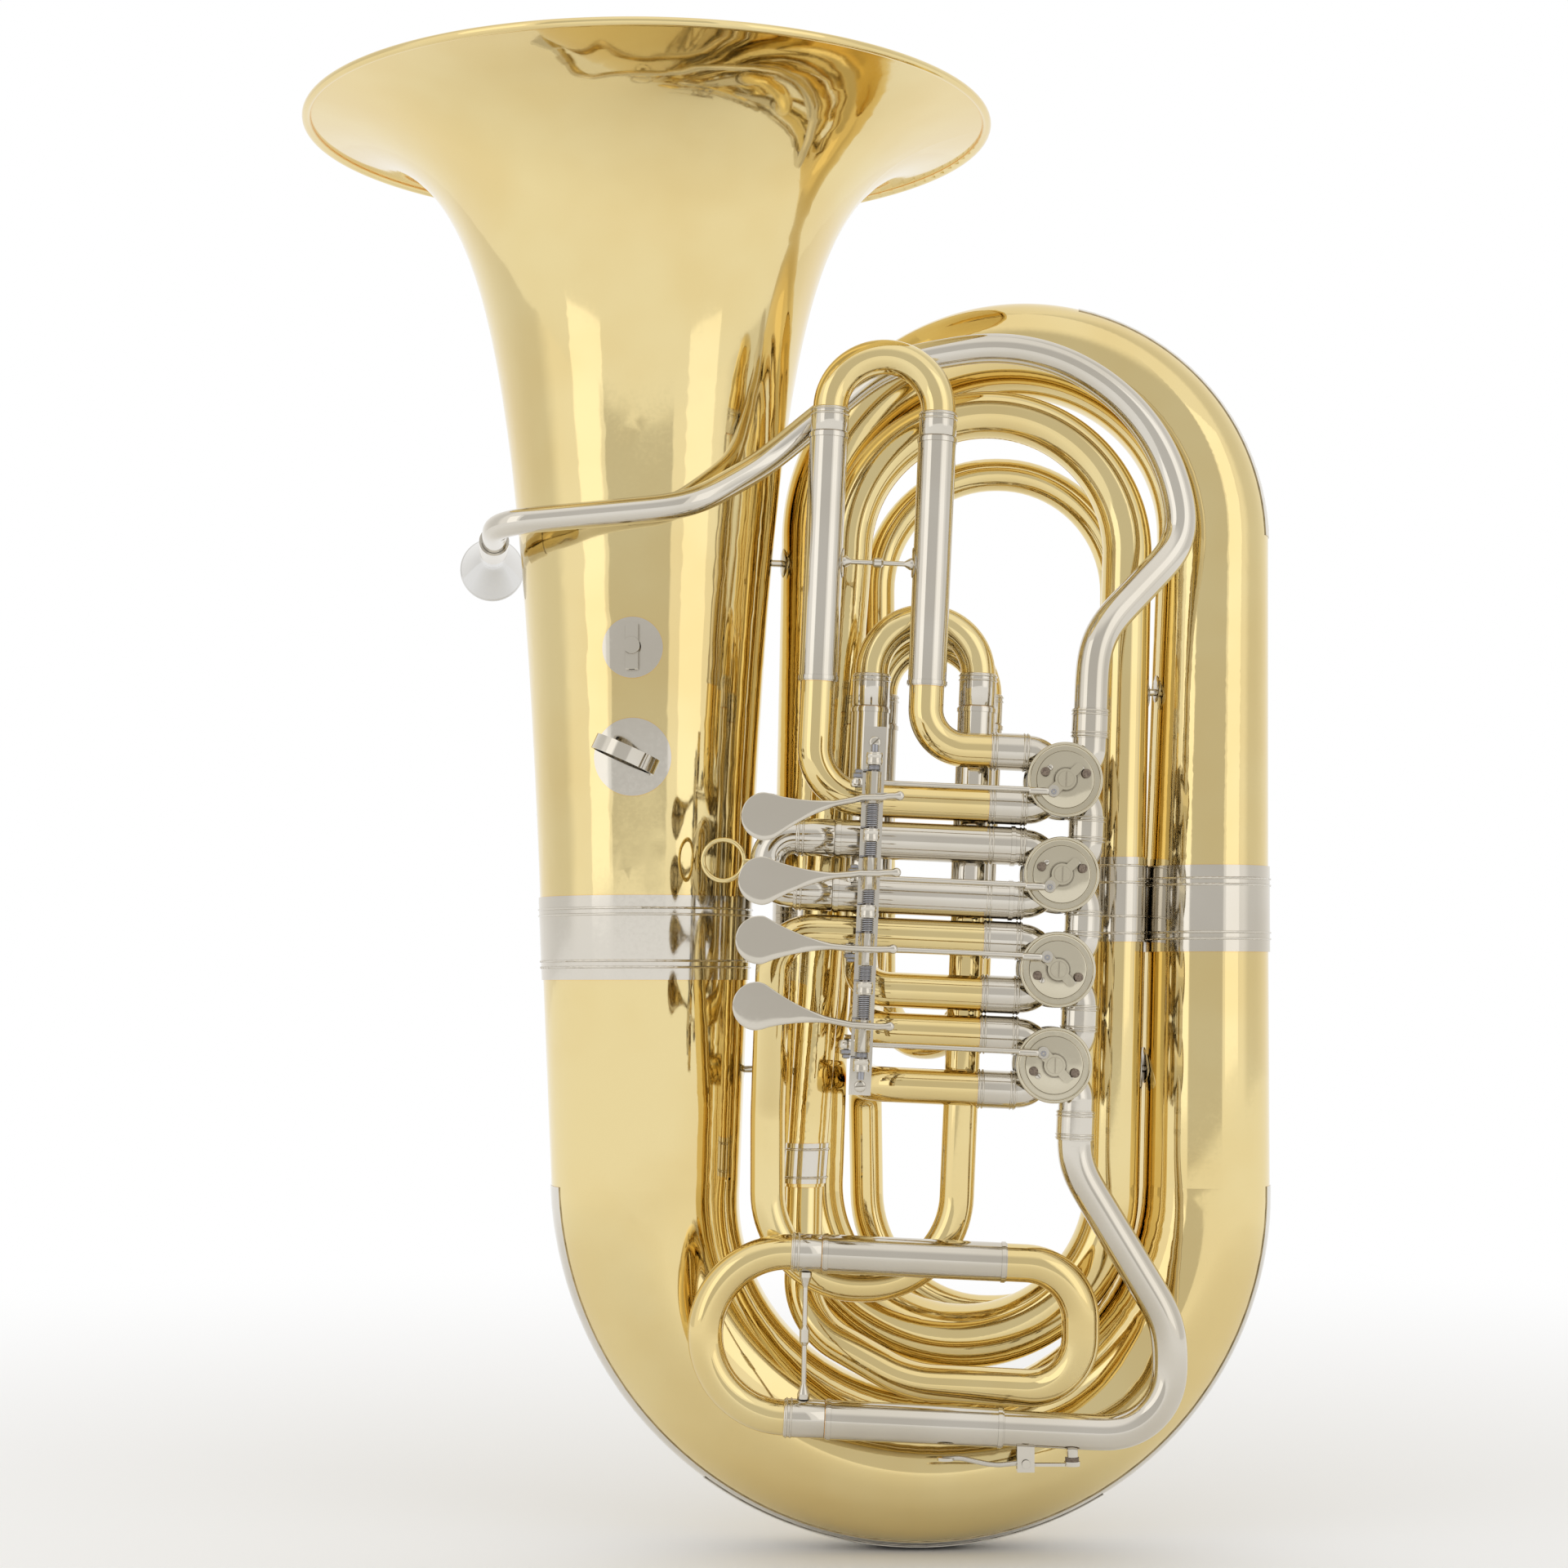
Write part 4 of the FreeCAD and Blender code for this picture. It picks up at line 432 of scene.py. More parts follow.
def make_materials():
    """One material per record slot, and a darker, warmer nickel with a painted warm reflection for the valve
    faces.
    """
    return {
        "brass": metal("brass", BRASS, BRASS_DEEP, BRASS_SHADE_AND_TARNISH, 0.045, 0.02, 0.02, 0.2),
        "nickel_silver": metal("nickel_silver", NICKEL, NICKEL_DEEP, NICKEL_SHADE_AND_TARNISH, 0.06,
                               0.02, 0.02),
        "nickel_warm_reflection": metal("nickel_warm_reflection", NICKEL_WARM_REFLECTION, NICKEL_WARM_REFLECTION_DEEP, NICKEL_SHADE_AND_TARNISH, 0.08,
                             0.02, 0.02),
        "rotor_brass": metal("rotor_brass", BRASS_DEEP, BRASS_DEEP, BRASS_SHADE_AND_TARNISH, 0.2),
        "spring_steel": metal("spring_steel", STEEL, STEEL, NICKEL_SHADE_AND_TARNISH, 0.16),
        "cork": cork_material(),
        "silver_plate": metal("silver_plate", SILVER, SILVER, NICKEL_SHADE_AND_TARNISH, 0.07, 0.015),
    }


def dress_nodes():
    """Every CAD node takes the material of its record slot; valve casings, stop arms and stop plates take the
    nickel with a painted warm reflection.
    """
    slots = {part["node"]: part["material_slot"] for part in RECORD["subparts"]}
    for name, obj in NODES.items():
        # Valve casings, stop arms and stop plates take the nickel with a painted warm reflection.
        warm_reflection = name.startswith(("valve_casing", "stop_arm")) or name == "stop_plates"
        obj.data.materials.clear()
        obj.data.materials.append(MATERIALS["nickel_warm_reflection" if warm_reflection else slots[name]])


# ---------------------------------------------------------------- mesh helpers

def add_piece(name, mesh, material, body, *replaced):
    """New shown object of one mesh that rides on a body and takes its finish from a slot."""
    mesh.materials.clear()
    mesh.materials.append(MATERIALS[material])
    obj = bpy.data.objects.new(name, mesh)
    SCENE.collection.objects.link(obj)
    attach(obj, body)
    if replaced:
        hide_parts(*replaced)
    return obj


def finished(work, name, sharp=40):
    """Mesh from a bmesh, shaded smooth except across sharp edges."""
    bmesh.ops.recalc_face_normals(work, faces=work.faces)
    mesh = bpy.data.meshes.new(name)
    work.to_mesh(mesh)
    work.free()
    mesh.shade_smooth()
    mesh.set_sharp_from_angle(angle=math.radians(sharp))
    return mesh


def frame_of(axis, hint=Vector((0.13, 0.31, 0.94))):
    """Two unit vectors square to an axis."""
    axis = axis.normalized()
    across = axis.cross(hint).normalized()
    return across, axis.cross(across)


def rings_to_mesh(work, rings, closed=False):
    """Quads between rings of equal length; closed joins the last ring to the first."""
    verts = [[work.verts.new(point) for point in ring] for ring in rings]
    count = len(verts[0])
    last = len(verts) if closed else len(verts) - 1
    for index in range(last):
        low, high = verts[index], verts[(index + 1) % len(verts)]
        for side in range(count):
            near = (side + 1) % count
            work.faces.new((low[side], low[near], high[near], high[side]))
    return verts


def in_metres(profile):
    """Profile given in mm, as a list in metres."""
    return [(radius * MM, along * MM) for radius, along in profile]


def circle(centre, across, up, radius, segments):
    """Points of a circle in the plane of two unit vectors."""
    return [centre + across * (radius * math.cos(math.tau * i / segments))
            + up * (radius * math.sin(math.tau * i / segments)) for i in range(segments)]


def turned(work, start, axis, profile, segments=64):
    """Solid of revolution; profile holds (radius, distance along the axis) pairs.

    A profile that leaves the axis free at both ends closes on itself as a ring.
    """
    across, up = frame_of(axis)
    axis = axis.normalized()
    closed = profile[0][0] > 0 and profile[-1][0] > 0
    rings = [circle(start + axis * along, across, up, max(radius, 1e-6), segments)
             for radius, along in profile]
    rings_to_mesh(work, rings, closed)


def swept(work, points, radii, segments=24):
    """Round bar along points with a radius at each."""
    across, up = frame_of(points[1] - points[0])
    rings = []
    for index, point in enumerate(points):
        before, after = points[max(index - 1, 0)], points[min(index + 1, len(points) - 1)]
        along = (after - before).normalized()
        across = (across - along * across.dot(along)).normalized()
        up = along.cross(across)
        rings.append(circle(point, across, up, radii[index], segments))
    verts = rings_to_mesh(work, rings)
    work.faces.new(verts[0])
    work.faces.new(list(reversed(verts[-1])))


def helix(start, end, radius, turns, steps=20):
    """Points of a wound spring from start to end, its end turns closed up."""
    axis = end - start
    across, up = frame_of(axis)
    points = []
    for step in range(int(turns * steps) + 1):
        share = step / (turns * steps)
        angle = math.tau * turns * share
        points.append(start + axis * share + across * (radius * math.cos(angle))
                      + up * (radius * math.sin(angle)))
    return points


def welded(name):
    """Bmesh of a CAD node at rest with its split vertices joined."""
    work = bmesh.new()
    work.from_mesh(NODES[name].data)
    bmesh.ops.remove_doubles(work, verts=work.verts, dist=0.001 * MM)
    return work


def split(name):
    """Separate solids of a CAD node, the largest first, as bmeshes."""
    whole = welded(name)
    whole.verts.ensure_lookup_table()
    seen, groups = set(), []
    for first in whole.verts:
        if first.index in seen:
            continue
        group, stack = [], [first]
        seen.add(first.index)
        while stack:
            vert = stack.pop()
            group.append(vert)
            for edge in vert.link_edges:
                other = edge.other_vert(vert)
                if other.index not in seen:
                    seen.add(other.index)
                    stack.append(other)
        groups.append(group)
    solids = []
    for group in sorted(groups, key=len, reverse=True):
        work = bmesh.new()
        copies = {vert.index: work.verts.new(vert.co) for vert in group}
        faces = {face for vert in group for face in vert.link_faces}
        for face in sorted(faces, key=lambda item: item.index):
            try:
                work.faces.new([copies[vert.index] for vert in face.verts])
            except ValueError:
                continue
        solids.append(work)
    whole.free()
    return solids


def span(work, axis):
    """Start, end and radius of a round solid along an axis."""
    axis = axis.normalized()
    across, up = frame_of(axis)
    points = [vert.co.copy() for vert in work.verts]
    along = [point.dot(axis) for point in points]
    wide = [point.dot(across) for point in points]
    high = [point.dot(up) for point in points]
    middle = across * ((min(wide) + max(wide)) / 2) + up * ((min(high) + max(high)) / 2)
    return (middle + axis * min(along), middle + axis * max(along),
            (max(wide) - min(wide)) / 2)


def reach(node_name):
    """Search tree over a CAD node's surface."""
    if node_name not in TREES:
        work = welded(node_name)
        TREES[node_name] = BVHTree.FromBMesh(work)
        work.free()
    return TREES[node_name]


def hug(work, target, centre, normal, wide, high, rings=7, segments=48):
    """Thin plate that follows the surface it is soldered to, left out where it would overhang."""
    normal = normal.normalized()
    across = Vector((0, 0, 1)).cross(normal)
    across = Vector((1, 0, 0)) if across.length < 0.1 else across.normalized()
    up = normal.cross(across)
    surface = reach(target)

    def on_surface(right, rise, height):
        """Point above the surface met when looking against the normal."""
        start = centre + across * right + up * rise + normal * HUG_START
        place, facing, _, _ = surface.ray_cast(start, -normal, HUG_REACH)
        if place is None:
            return None
        if facing.dot(normal) < 0:
            facing = -facing
        return place + facing * height

    grid = []
    for ring in range(rings + 2):
        share = min(ring, rings) / rings
        height = FLANGE_LIFT * MM * (1 if ring < rings else HUG_EDGE)
        if ring == rings + 1:
            height = HUG_FOOT
        row = []
        for side in range(segments):
            angle = math.tau * side / segments
            pull = 1 - FLANGE_TIP * abs(math.sin(2 * angle)) ** 1.5
            row.append(on_surface(wide * share * pull * math.cos(angle),
                                  high * share * pull * math.sin(angle), height))
        grid.append(row)
    if any(point is None for row in grid for point in row):
        return
    middle = work.verts.new(grid[0][0])
    rows = [[work.verts.new(point) for point in row] for row in grid[1:]]
    for side in range(segments):
        near = (side + 1) % segments
        work.faces.new((middle, rows[0][side], rows[0][near]))
        for low, high_row in zip(rows[:-1], rows[1:]):
            work.faces.new((low[side], high_row[side], high_row[near], low[near]))


def slotted_head(work, centre, normal, radius, depth, turn=0.6):
    """Domed screw head with a sawn slot; the slot's floor and walls are real."""
    normal = normal.normalized()
    across, up = frame_of(normal)
    right = across * math.cos(turn) + up * math.sin(turn)
    rise = normal.cross(right)
    half = radius * SLOT_HALF
    edge = math.asin(half / radius)
    arc = [edge + (math.pi - 2 * edge) * i / 20 for i in range(21)]
    for side in (-1, 1):
        outline = [(radius * math.cos(angle), side * radius * math.sin(angle)) for angle in arc]
        rows = []
        for scale, height in HEAD_LEVELS:
            row = []
            for x, y in outline:
                y = side * max(abs(y) * scale, half)
                row.append(centre + right * (x * scale) + rise * y + normal * (depth * height))
            rows.append([work.verts.new(point) for point in row])
        for low, high in zip(rows[:-1], rows[1:]):
            for i in range(len(low) - 1):
                work.faces.new((low[i], low[i + 1], high[i + 1], high[i]))
            work.faces.new((low[-1], low[0], high[0], high[-1]))
        work.faces.new(rows[-1])
        work.faces.new(list(reversed(rows[0])))
    inner, floor = radius * 0.97, depth * SLOT_FLOOR
    turned(work, centre - normal * (0.1 * MM), normal,
           [(0, 0), (inner, 0), (inner, floor), (0, floor)], 32)


# ---------------------------------------------------------------- places in the valve cluster

def joint_place(name):
    """Point on the axis of a body's joint, at rest."""
    return Vector(JOINTS[name]["pos_m"])


def joint_axis(name):
    """Unit direction of a body's joint."""
    return Vector(JOINTS[name]["axis"]).normalized()


def cluster_point(x, y, z):
    """Point in the leaning frame of the valve cluster, in millimetres from its middle."""
    return CLUSTER_MIDDLE + CLUSTER_RIGHT * (x * MM) + Vector((0, 1, 0)) * (y * MM) \
        + CLUSTER_UP * (z * MM)


def cluster_place(point):
    """Coordinates of a point in the cluster's frame, in millimetres."""
    offset = point - CLUSTER_MIDDLE
    return Vector((offset.dot(CLUSTER_RIGHT), offset.y, offset.dot(CLUSTER_UP))) / MM


# ---------------------------------------------------------------- slides

def beads(radius, bead, places, steps):
    """Half-round beads on a tube, as (radius, distance along the axis) pairs."""
    return [(radius + bead * math.sin(math.pi * step / steps),
             place - bead * math.cos(math.pi * step / steps))
            for place in places for step in range(steps + 1)]


def collar_profile(length, radius, bore):
    """Slide collar: chamfered mouth, plain band and two beads next to the brass."""
    places = [length - place * MM for place in COLLAR_BEADS]
    return ([(bore, 0.1 * MM), (radius - 0.4 * MM, 0.0), (radius, 0.5 * MM)]
            + beads(radius, COLLAR_BEAD * MM, places, 8)
            + [(radius, length - 0.5 * MM), (radius - 0.5 * MM, length), (bore, length)])


def dress_slides():
    """Brass crooks with nickel collars, and the pull ring on the second slide."""
    for order in ("first", "second", "third", "fourth", "main"):
        name = order + "_slide_crook"
        body = BODY[name]
        axis = joint_axis(body)
        solids = split(name)
        tube = add_piece(name + "_tube", finished(solids[0], name + "_tube", 50), "brass", body)
        collars = bmesh.new()
        rings = []
        for solid in solids[1:]:
            start, end, radius = span(solid, axis)
            length = (end - start).length
            thin, thick = COLLAR_RADII
            if not thin * MM <= radius <= thick * MM or length > COLLAR_LONGEST * MM:
                rings.append(solid)
                continue
            profile = collar_profile(length, radius - 0.4 * MM, radius - COLLAR_WALL * MM)
            turned(collars, start, axis, profile, 96)
            solid.free()
        add_piece(name + "_collars", finished(collars, name + "_collars", 50), "nickel_silver",
                  body)
        for index, solid in enumerate(rings):
            add_piece("pull_ring_%d" % (index + 1), finished(solid, "pull_ring"),
                      "nickel_silver", body)
        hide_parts(name)


def ferrule(work, start, end, thinner=0.0):
    """Solder ferrule with a pair of beads at each end, between two points."""
    length = (end - start).length
    radius = (PORT_TUBE + FERRULE_WALL) * MM - thinner
    bore = (PORT_TUBE + FERRULE_GAP) * MM
    near, far = (place * MM for place in FERRULE_BEADS)
    profile = ([(bore, 0), (radius, 0)]
               + beads(radius, FERRULE_BEAD * MM, (near, far, length - far, length - near), 6)
               + [(radius, length), (bore, length)])
    turned(work, start, end - start, profile, 72)


def add_ferrules():
    """Nickel ferrules where the brass tubes meet the valves, and on the main line."""
    work = bmesh.new()
    left, right = FERRULE_SPAN
    heights = [cluster_place(joint_place("rotor_%d" % (valve + 1))).z for valve in range(4)]
    for height in heights:
        for side in (-1, 1):
            level = height + side * PORT_RISE
            ferrule(work, cluster_point(left, 0, level), cluster_point(right, 0, level))
    near, far = MAIN_FERRULE
    for low, high in ((heights[0] + near, heights[0] + far), (heights[3] - far, heights[3] - near)):
        ferrule(work, cluster_point(MAIN_SHIFT, 0, low), cluster_point(MAIN_SHIFT, 0, high))
    for upper, lower in zip(heights[:-1], heights[1:]):
        middle = (upper + lower) / 2
        ferrule(work, cluster_point(MAIN_SHIFT, 0, middle - BETWEEN_VALVES),
                cluster_point(MAIN_SHIFT, 0, middle + BETWEEN_VALVES), 0.3 * MM)
    add_piece("port_ferrules", finished(work, "port_ferrules", 50), "nickel_silver", "horn")


# ---------------------------------------------------------------- valves

def ring_profile(radius, bead, base):
    """Half-round ring on a flat face: (radius, height) pairs from outside to inside."""
    return [(radius + bead * math.cos(math.pi * i / 10), base + bead * math.sin(math.pi * i / 10))
            for i in range(11)]


def dress_valves():
    """Rim beads, engraved rings, lugs, corks and screws on the four valve faces."""
    faces, corks, screws = bmesh.new(), bmesh.new(), bmesh.new()
    plate_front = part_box("stop_plates")[0].y
    for valve in range(4):
        casing_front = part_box("valve_casing_%d" % (valve + 1))[0].y
        centre = joint_place("rotor_%d" % (valve + 1))
        face = Vector((centre.x, casing_front, centre.z))
        sunk = face - FRONT * (0.2 * MM)
        inset, bead, rise = RIM_BEAD
        inner = CASING_PLATE - RIM_INNER
        turned(faces, sunk, FRONT, in_metres(
            [(inner, 0), (CASING_PLATE, 0)] + ring_profile(CASING_PLATE - inset, bead, rise)
            + [(inner, 0.3)]), 96)
        turned(faces, sunk, FRONT, in_metres(
            [(FACE_RING[0] + 0.4, 0)] + ring_profile(*FACE_RING) + [(FACE_RING[0] - 0.5, 0)]), 96)
        plate = Vector((centre.x, plate_front, centre.z))
        turned(faces, plate, FRONT, in_metres(STOP_PLATE), 96)
        side = -1 if valve < 2 else 1
        angle = math.radians(PLATE_SCREW_TURN)
        out, down = (PLATE_SCREW_OUT * MM * part(angle) for part in (math.cos, math.sin))
        for turn in (-1, 1):
            spot = plate + CLUSTER_RIGHT * (turn * out) - CLUSTER_UP * (side * down)
            slotted_head(screws, spot, FRONT, 1.7 * MM, 1.0 * MM, 0.5 + turn + valve)
    for solid in split("stop_corks"):
        start, end, radius = span(solid, FRONT)
        length = (end - start).length
        chamfer = 0.35 * MM
        turned(corks, start, FRONT, [(0, 0), (radius, 0), (radius, length - chamfer),
                                       (radius - chamfer, length), (0, length)], 40)
        solid.free()
    # The face rings take the nickel with a painted warm reflection.
    add_piece("valve_face_rings", finished(faces, "valve_face_rings", 50), "nickel_warm_reflection", "horn")
    cork = add_piece("cork_bumpers", finished(corks, "cork_bumpers", 30), "cork", "horn")
    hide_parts("stop_corks")
    add_piece("stop_plate_screws", finished(screws, "stop_plate_screws", 30), "nickel_silver",
              "horn")


def rod_end(name):
    """Middle of the cup at the valve end of a link rod."""
    low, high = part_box(name)
    drift = CLUSTER_RIGHT.z * (high.x - low.x) / 2
    return Vector((high.x - ROD_CUP * MM, (low.y + high.y) / 2, (low.z + high.z) / 2 + drift))


def dress_rods():
    """Turned sockets at both ends of each link rod, with a steel ball and a stud nut."""
    for valve in range(4):
        name, lever = "link_rod_%d" % (valve + 1), "lever_%d" % (valve + 1)
        centre = rod_end(name)
        work, steel, nut = bmesh.new(), bmesh.new(), bmesh.new()
        turned(work, centre, FRONT, in_metres(ROD_SOCKET), 48)
        dome = [(BALL_RADIUS * math.cos(math.radians(angle)),
                 BALL_RADIUS * math.sin(math.radians(angle))) for angle in range(-20, 61, 8)]
        ball = [(0, dome[0][1])] + dome + list(BALL_CENTRE_MARK)
        turned(steel, centre, FRONT, in_metres(ball), 32)
        add_piece(name + "_ball", finished(steel, name + "_ball", 40), "spring_steel", BODY[name])
        back = -CLUSTER_RIGHT
        turned(work, centre + back * (3.0 * MM), back, in_metres(ROD_SLEEVE), 32)
        stud = cluster_place(joint_place(name))
        level = cluster_place(centre).z
        turned(work, cluster_point(stud.x, stud.y, level), CLUSTER_UP, in_metres(STUD_SOCKET), 40)
        add_piece(name + "_ball_joint", finished(work, name, 40), "nickel_silver", BODY[name])
        up = 1 if valve < 2 else -1
        turned(nut, cluster_point(stud.x, stud.y, level + up * STUD_NUT_RISE), CLUSTER_UP * up,
               in_metres(STUD_NUT), 6)
        add_piece(lever + "_stud_nut", finished(nut, name + "_nut", 30), "spring_steel",
                  BODY[lever])


# ---------------------------------------------------------------- levers

def cut_outline(solid, place, normal):
    """Points where a plane cuts a closed mesh."""
    copy = solid.copy()
    result = bmesh.ops.bisect_plane(copy, geom=copy.verts[:] + copy.edges[:] + copy.faces[:],
                                    plane_co=place, plane_no=normal, dist=1e-7)
    points = [item.co.copy() for item in result["geom_cut"] if isinstance(item, bmesh.types.BMVert)]
    copy.free()
    return points


def lever_stations(whole, hinge):
    """Rows of x, y, z, half width and half thickness along the front of a lever."""
    places = [cluster_place(vert.co).x for vert in whole.verts]
    left, right = min(places) + LEVER_ENDS, max(places) - LEVER_ENDS
    rows = []
    for index in range(LEVER_STEPS):
        share = index / (LEVER_STEPS - 1)
        x = left + (right - left) * (1 - math.cos(math.pi * share)) / 2
        if abs(x - hinge.x) < LEVER_HUB:
            continue
        cut = [cluster_place(point) for point in
               cut_outline(whole, cluster_point(x, 0, 0), CLUSTER_RIGHT)]
        front = [place for place in cut if place.y < hinge.y - LEVER_FRONT]
        if not front:
            continue
        low, high = min(place.z for place in front), max(place.z for place in front)
        near, far = min(place.y for place in front), max(place.y for place in front)
        rows.append((x, (near + far) / 2, (low + high) / 2, (high - low) / 2, (far - near) / 2))
    return np.array(rows)


def smoothed(column, width):
    """Running mean of a column whose ends stay where they are."""
    padded = np.pad(column, width // 2, "edge")
    return np.convolve(padded, np.ones(width) / width, "valid")


def lever_section(x, y, z, wide, thick):
    """Outline across a lever: round in the arm, flat with rounded edges in the plate."""
    flatness = 1 - FLATNESS * min(max((wide - ROUND_ARM) / FLAT_FROM, 0), 1)
    ring = []
    for side in range(LEVER_SIDES):
        turn = math.tau * (side + 0.5) / LEVER_SIDES
        rise, depth = (math.copysign(abs(share) ** flatness, share)
                       for share in (math.cos(turn), math.sin(turn)))
        ring.append(cluster_point(x, y + thick * depth, z + wide * rise))
    return ring


def build_lever(valve):
    """Thin finger plate that narrows into a round arm, on the bored hub with its horn."""
    name = "lever_%d" % (valve + 1)
    whole = welded(name)
    hinge = cluster_place(joint_place(name))
    rows = lever_stations(whole, hinge)
    for column in (1, 2, 4):
        rows[:, column] = smoothed(rows[:, column], 5)
    geometry = whole.verts[:] + whole.edges[:] + whole.faces[:]
    bmesh.ops.bisect_plane(whole, geom=geometry, plane_no=FRONT, clear_outer=True, dist=1e-7,
                           plane_co=cluster_point(0, hinge.y - LEVER_CUT, 0))
    bmesh.ops.holes_fill(whole, edges=[edge for edge in whole.edges if edge.is_boundary])
    verts = rings_to_mesh(whole, [lever_section(*row) for row in rows])
    whole.faces.new(verts[0])
    whole.faces.new(list(reversed(verts[-1])))
    piece = add_piece(name + "_body", finished(whole, name, 42), "nickel_silver", BODY[name])
    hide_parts(name)


def wind_springs():
    """Return springs wound from steel wire, with one straight leg each."""
    work = bmesh.new()
    axis = joint_axis("lever_1")
    for solid in split("lever_springs"):
        start, end, radius = span(solid, axis)
        solid.free()
        wire = SPRING_WIRE * MM
        inset = axis * wire
        turns = max(3, round(((end - start).length - 2 * wire) / (SPRING_PITCH * MM)))
        points = helix(start + inset, end - inset, radius - wire, turns)
        last = points[-1]
        points += [last - CLUSTER_RIGHT * (3 * MM),
                   last - CLUSTER_RIGHT * (SPRING_LEG * MM) + Vector((0, 1.5 * MM, 0))]
        swept(work, points, [wire] * len(points), 8)
    springs = add_piece("wound_springs", finished(work, "wound_springs", 60), "spring_steel",
                        "horn")
    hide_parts("lever_springs")


def dress_rail():
    """Turned bearing nuts and end screws of the lever rail."""
    nuts, screws = bmesh.new(), bmesh.new()
    axis = joint_axis("lever_1")
    hinge = cluster_place(joint_place("lever_1"))
    for height in RAIL_NUTS:
        start = cluster_point(hinge.x, hinge.y, height + 3.3)
        turned(nuts, start, axis, in_metres(RAIL_NUT), 40)
    for height, turn in RAIL_SCREWS:
        spot = cluster_point(hinge.x, hinge.y + RAIL_FACE, height)
        slotted_head(screws, spot, FRONT, 3.2 * MM, 1.8 * MM, turn)
    add_piece("rail_bearing_nuts", finished(nuts, "rail_nuts", 30), "nickel_silver", "horn")
    add_piece("rail_screws", finished(screws, "rail_screws", 30), "nickel_silver", "horn")


# ---------------------------------------------------------------- bent tubes

def rounded(corners, bends, step=2.0):
    """Even points along straight runs joined by tangent arcs, in mm."""
    points = [corners[0]]
    for corner, before, after, radius in zip(corners[1:-1], corners[:-2], corners[2:], bends):
        back, ahead = (before - corner).normalized(), (after - corner).normalized()
        half = back.angle(ahead) / 2
        run = radius / math.tan(half)
        middle = corner + (back + ahead).normalized() * (radius / math.sin(half))
        first, last = corner + back * run - middle, corner + ahead * run - middle
        count = max(4, int((math.pi - 2 * half) * radius / step))
        points += [middle + first.slerp(last, i / count).normalized() * radius
                   for i in range(count + 1)]
    points.append(corners[-1])
    even = [points[0]]
    for start, end in zip(points[:-1], points[1:]):
        pieces = max(1, round((end - start).length / step))
        even += [start.lerp(end, i / pieces) for i in range(1, pieces + 1)]
    return even


def eased(points, width):
    """Points averaged along the route, with both ends held in place and direction."""
    table = np.array([tuple(point) for point in points])
    half = width // 2
    head = 2 * table[0] - table[half:0:-1]
    tail = 2 * table[-1] - table[-2:-half - 2:-1]
    long = np.vstack([head, table, tail])
    weights = np.hanning(width + 2)[1:-1]
    weights /= weights.sum()
    columns = [np.convolve(long[:, axis], weights, "valid") for axis in range(3)]
    return [Vector(place) * MM for place in zip(*columns)]


def bend_tube(name, corners, bends, first, last, width):
    """Smoothly bent nickel tube in place of a CAD tube of the same route."""
    path = eased(rounded([Vector(corner) for corner in corners], bends), width)
    radii = [(first + (last - first) * i / (len(path) - 1)) * MM for i in range(len(path))]
    work = bmesh.new()
    swept(work, path, radii, 64)
    piece = add_piece(name + "_smooth", finished(work, name + "_smooth", 50), "nickel_silver",
                      "horn")
    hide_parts(name)


def over_bow(angle):
    """Corner of the leadpipe's route over the top bow."""
    turn = math.radians(angle)
    far = BOW_ARC / math.cos(math.radians(22.5))
    return Vector(BOW_MIDDLE) + Vector((far * math.cos(turn), 0, far * math.sin(turn)))


def main_line(height):
    """Point on the middle of the main tube beside the valves, in mm."""
    return cluster_point(MAIN_SHIFT, 0, height) / MM


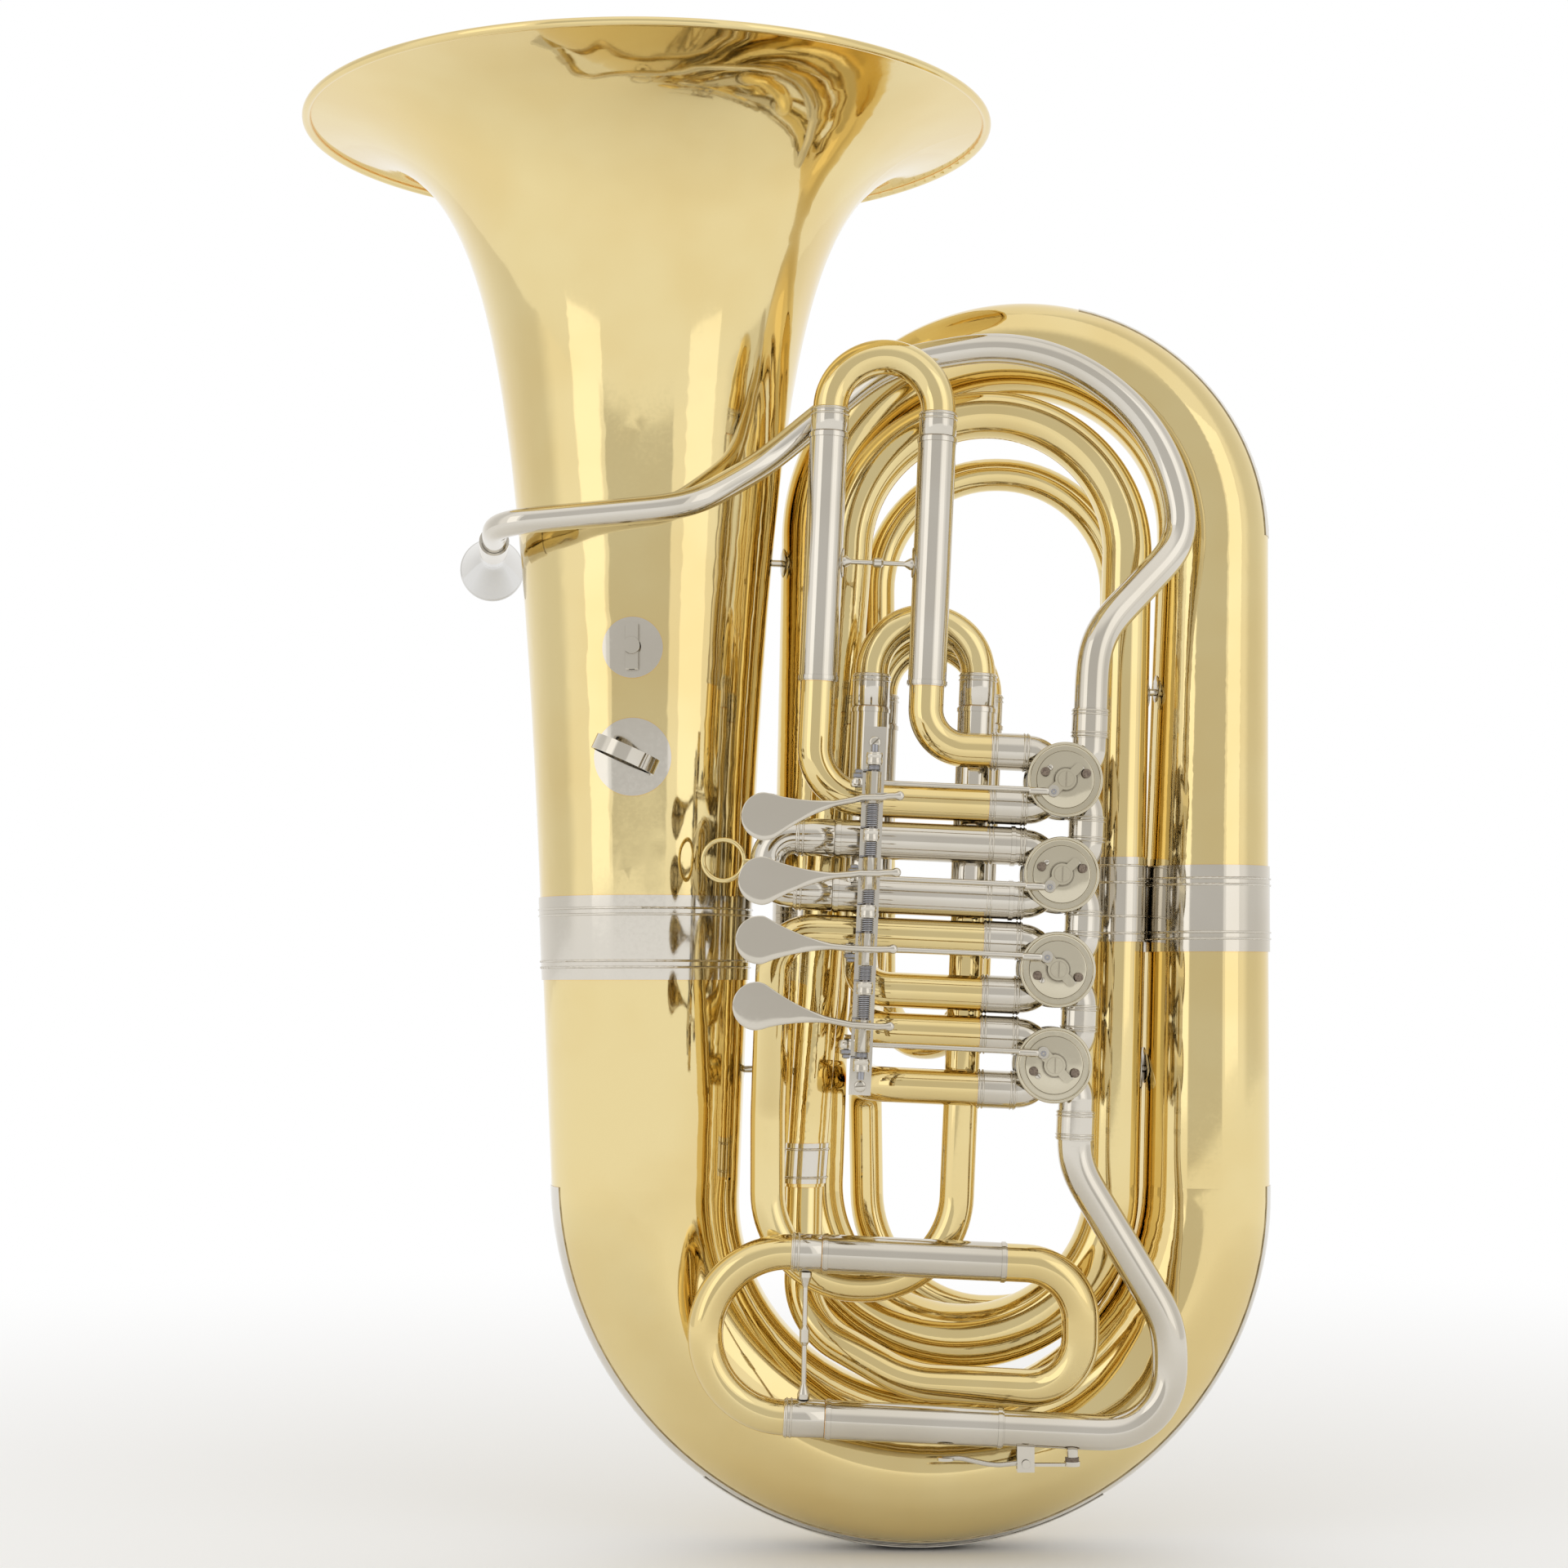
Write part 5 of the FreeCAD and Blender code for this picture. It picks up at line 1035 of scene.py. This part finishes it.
def bend_tubes():
    """Leadpipe over the bell and the bow, and the tube from the fourth valve to the slide."""
    top = cluster_place(joint_place("rotor_1")).z + PORT_STUB
    route = list(LEADPIPE_START) + [over_bow(angle) for angle in BOW_CORNERS]
    route += [LEADPIPE_DOWN, main_line(LEADPIPE_LOW), main_line(top)]
    bend_tube("leadpipe", route, LEADPIPE_BENDS, LEADPIPE_THIN, PORT_TUBE, 21)
    along = -joint_axis("main_slide")
    down = Vector((0, 1, 0)).cross(along).normalized()
    lower = Vector(SLIDE_MIDDLE) + down * SLIDE_HALF
    corner = lower + along * SLIDE_CORNER
    first, second = OUTLET_CORNERS
    route = [main_line(-top), main_line(first), (corner.x, corner.y, second), corner,
             lower + along * SLIDE_END]
    bend_tube("outlet_tube", route, OUTLET_BENDS, PORT_TUBE, PORT_TUBE, 15)


# ---------------------------------------------------------------- soldered flanges

def add_flanges():
    """Plates under both feet of every brace, soldered to the tubes."""
    work = bmesh.new()
    for solid in split("braces"):
        places = [vert.co.copy() for vert in solid.verts]
        solid.free()
        middle = sum(places, Vector()) / len(places)
        far = max(places, key=lambda place: (place - middle).length)
        along = (far - middle).normalized()
        along = Vector((along.x, along.y, along.z if abs(along.z) > 0.3 else 0)).normalized()
        for side in (-1, 1):
            outward = along * side
            hits = []
            for target in BRACED:
                place, _, _, distance = reach(target).ray_cast(middle, outward, 0.1)
                if place is not None:
                    hits.append((distance, target, place))
            if hits:
                _, target, place = min(hits)
                tall = FLANGE_TALL if abs(along.z) < 0.5 else FLANGE_WIDE
                hug(work, target, place, -outward, FLANGE_WIDE * MM, tall * MM)
    add_piece("solder_flanges", finished(work, "solder_flanges", 35), "nickel_silver", "horn")


make_camera()
make_world()
make_light("left_softbox", (-2.1, -2.0, 1.3), (0, 0, 0.5), 1.3, 2.2, 3.0)
make_light("right_softbox", (1.9, -2.0, 1.3), (0, 0, 0.5), 1.3, 2.2, 2.4)
SCENE.view_settings.view_transform = "Standard"
make_floor()
MATERIALS = make_materials()
dress_nodes()
dress_slides()
add_ferrules()
dress_valves()
dress_rods()
for lever_number in range(4):
    build_lever(lever_number)
wind_springs()
dress_rail()
bend_tubes()
add_flanges()
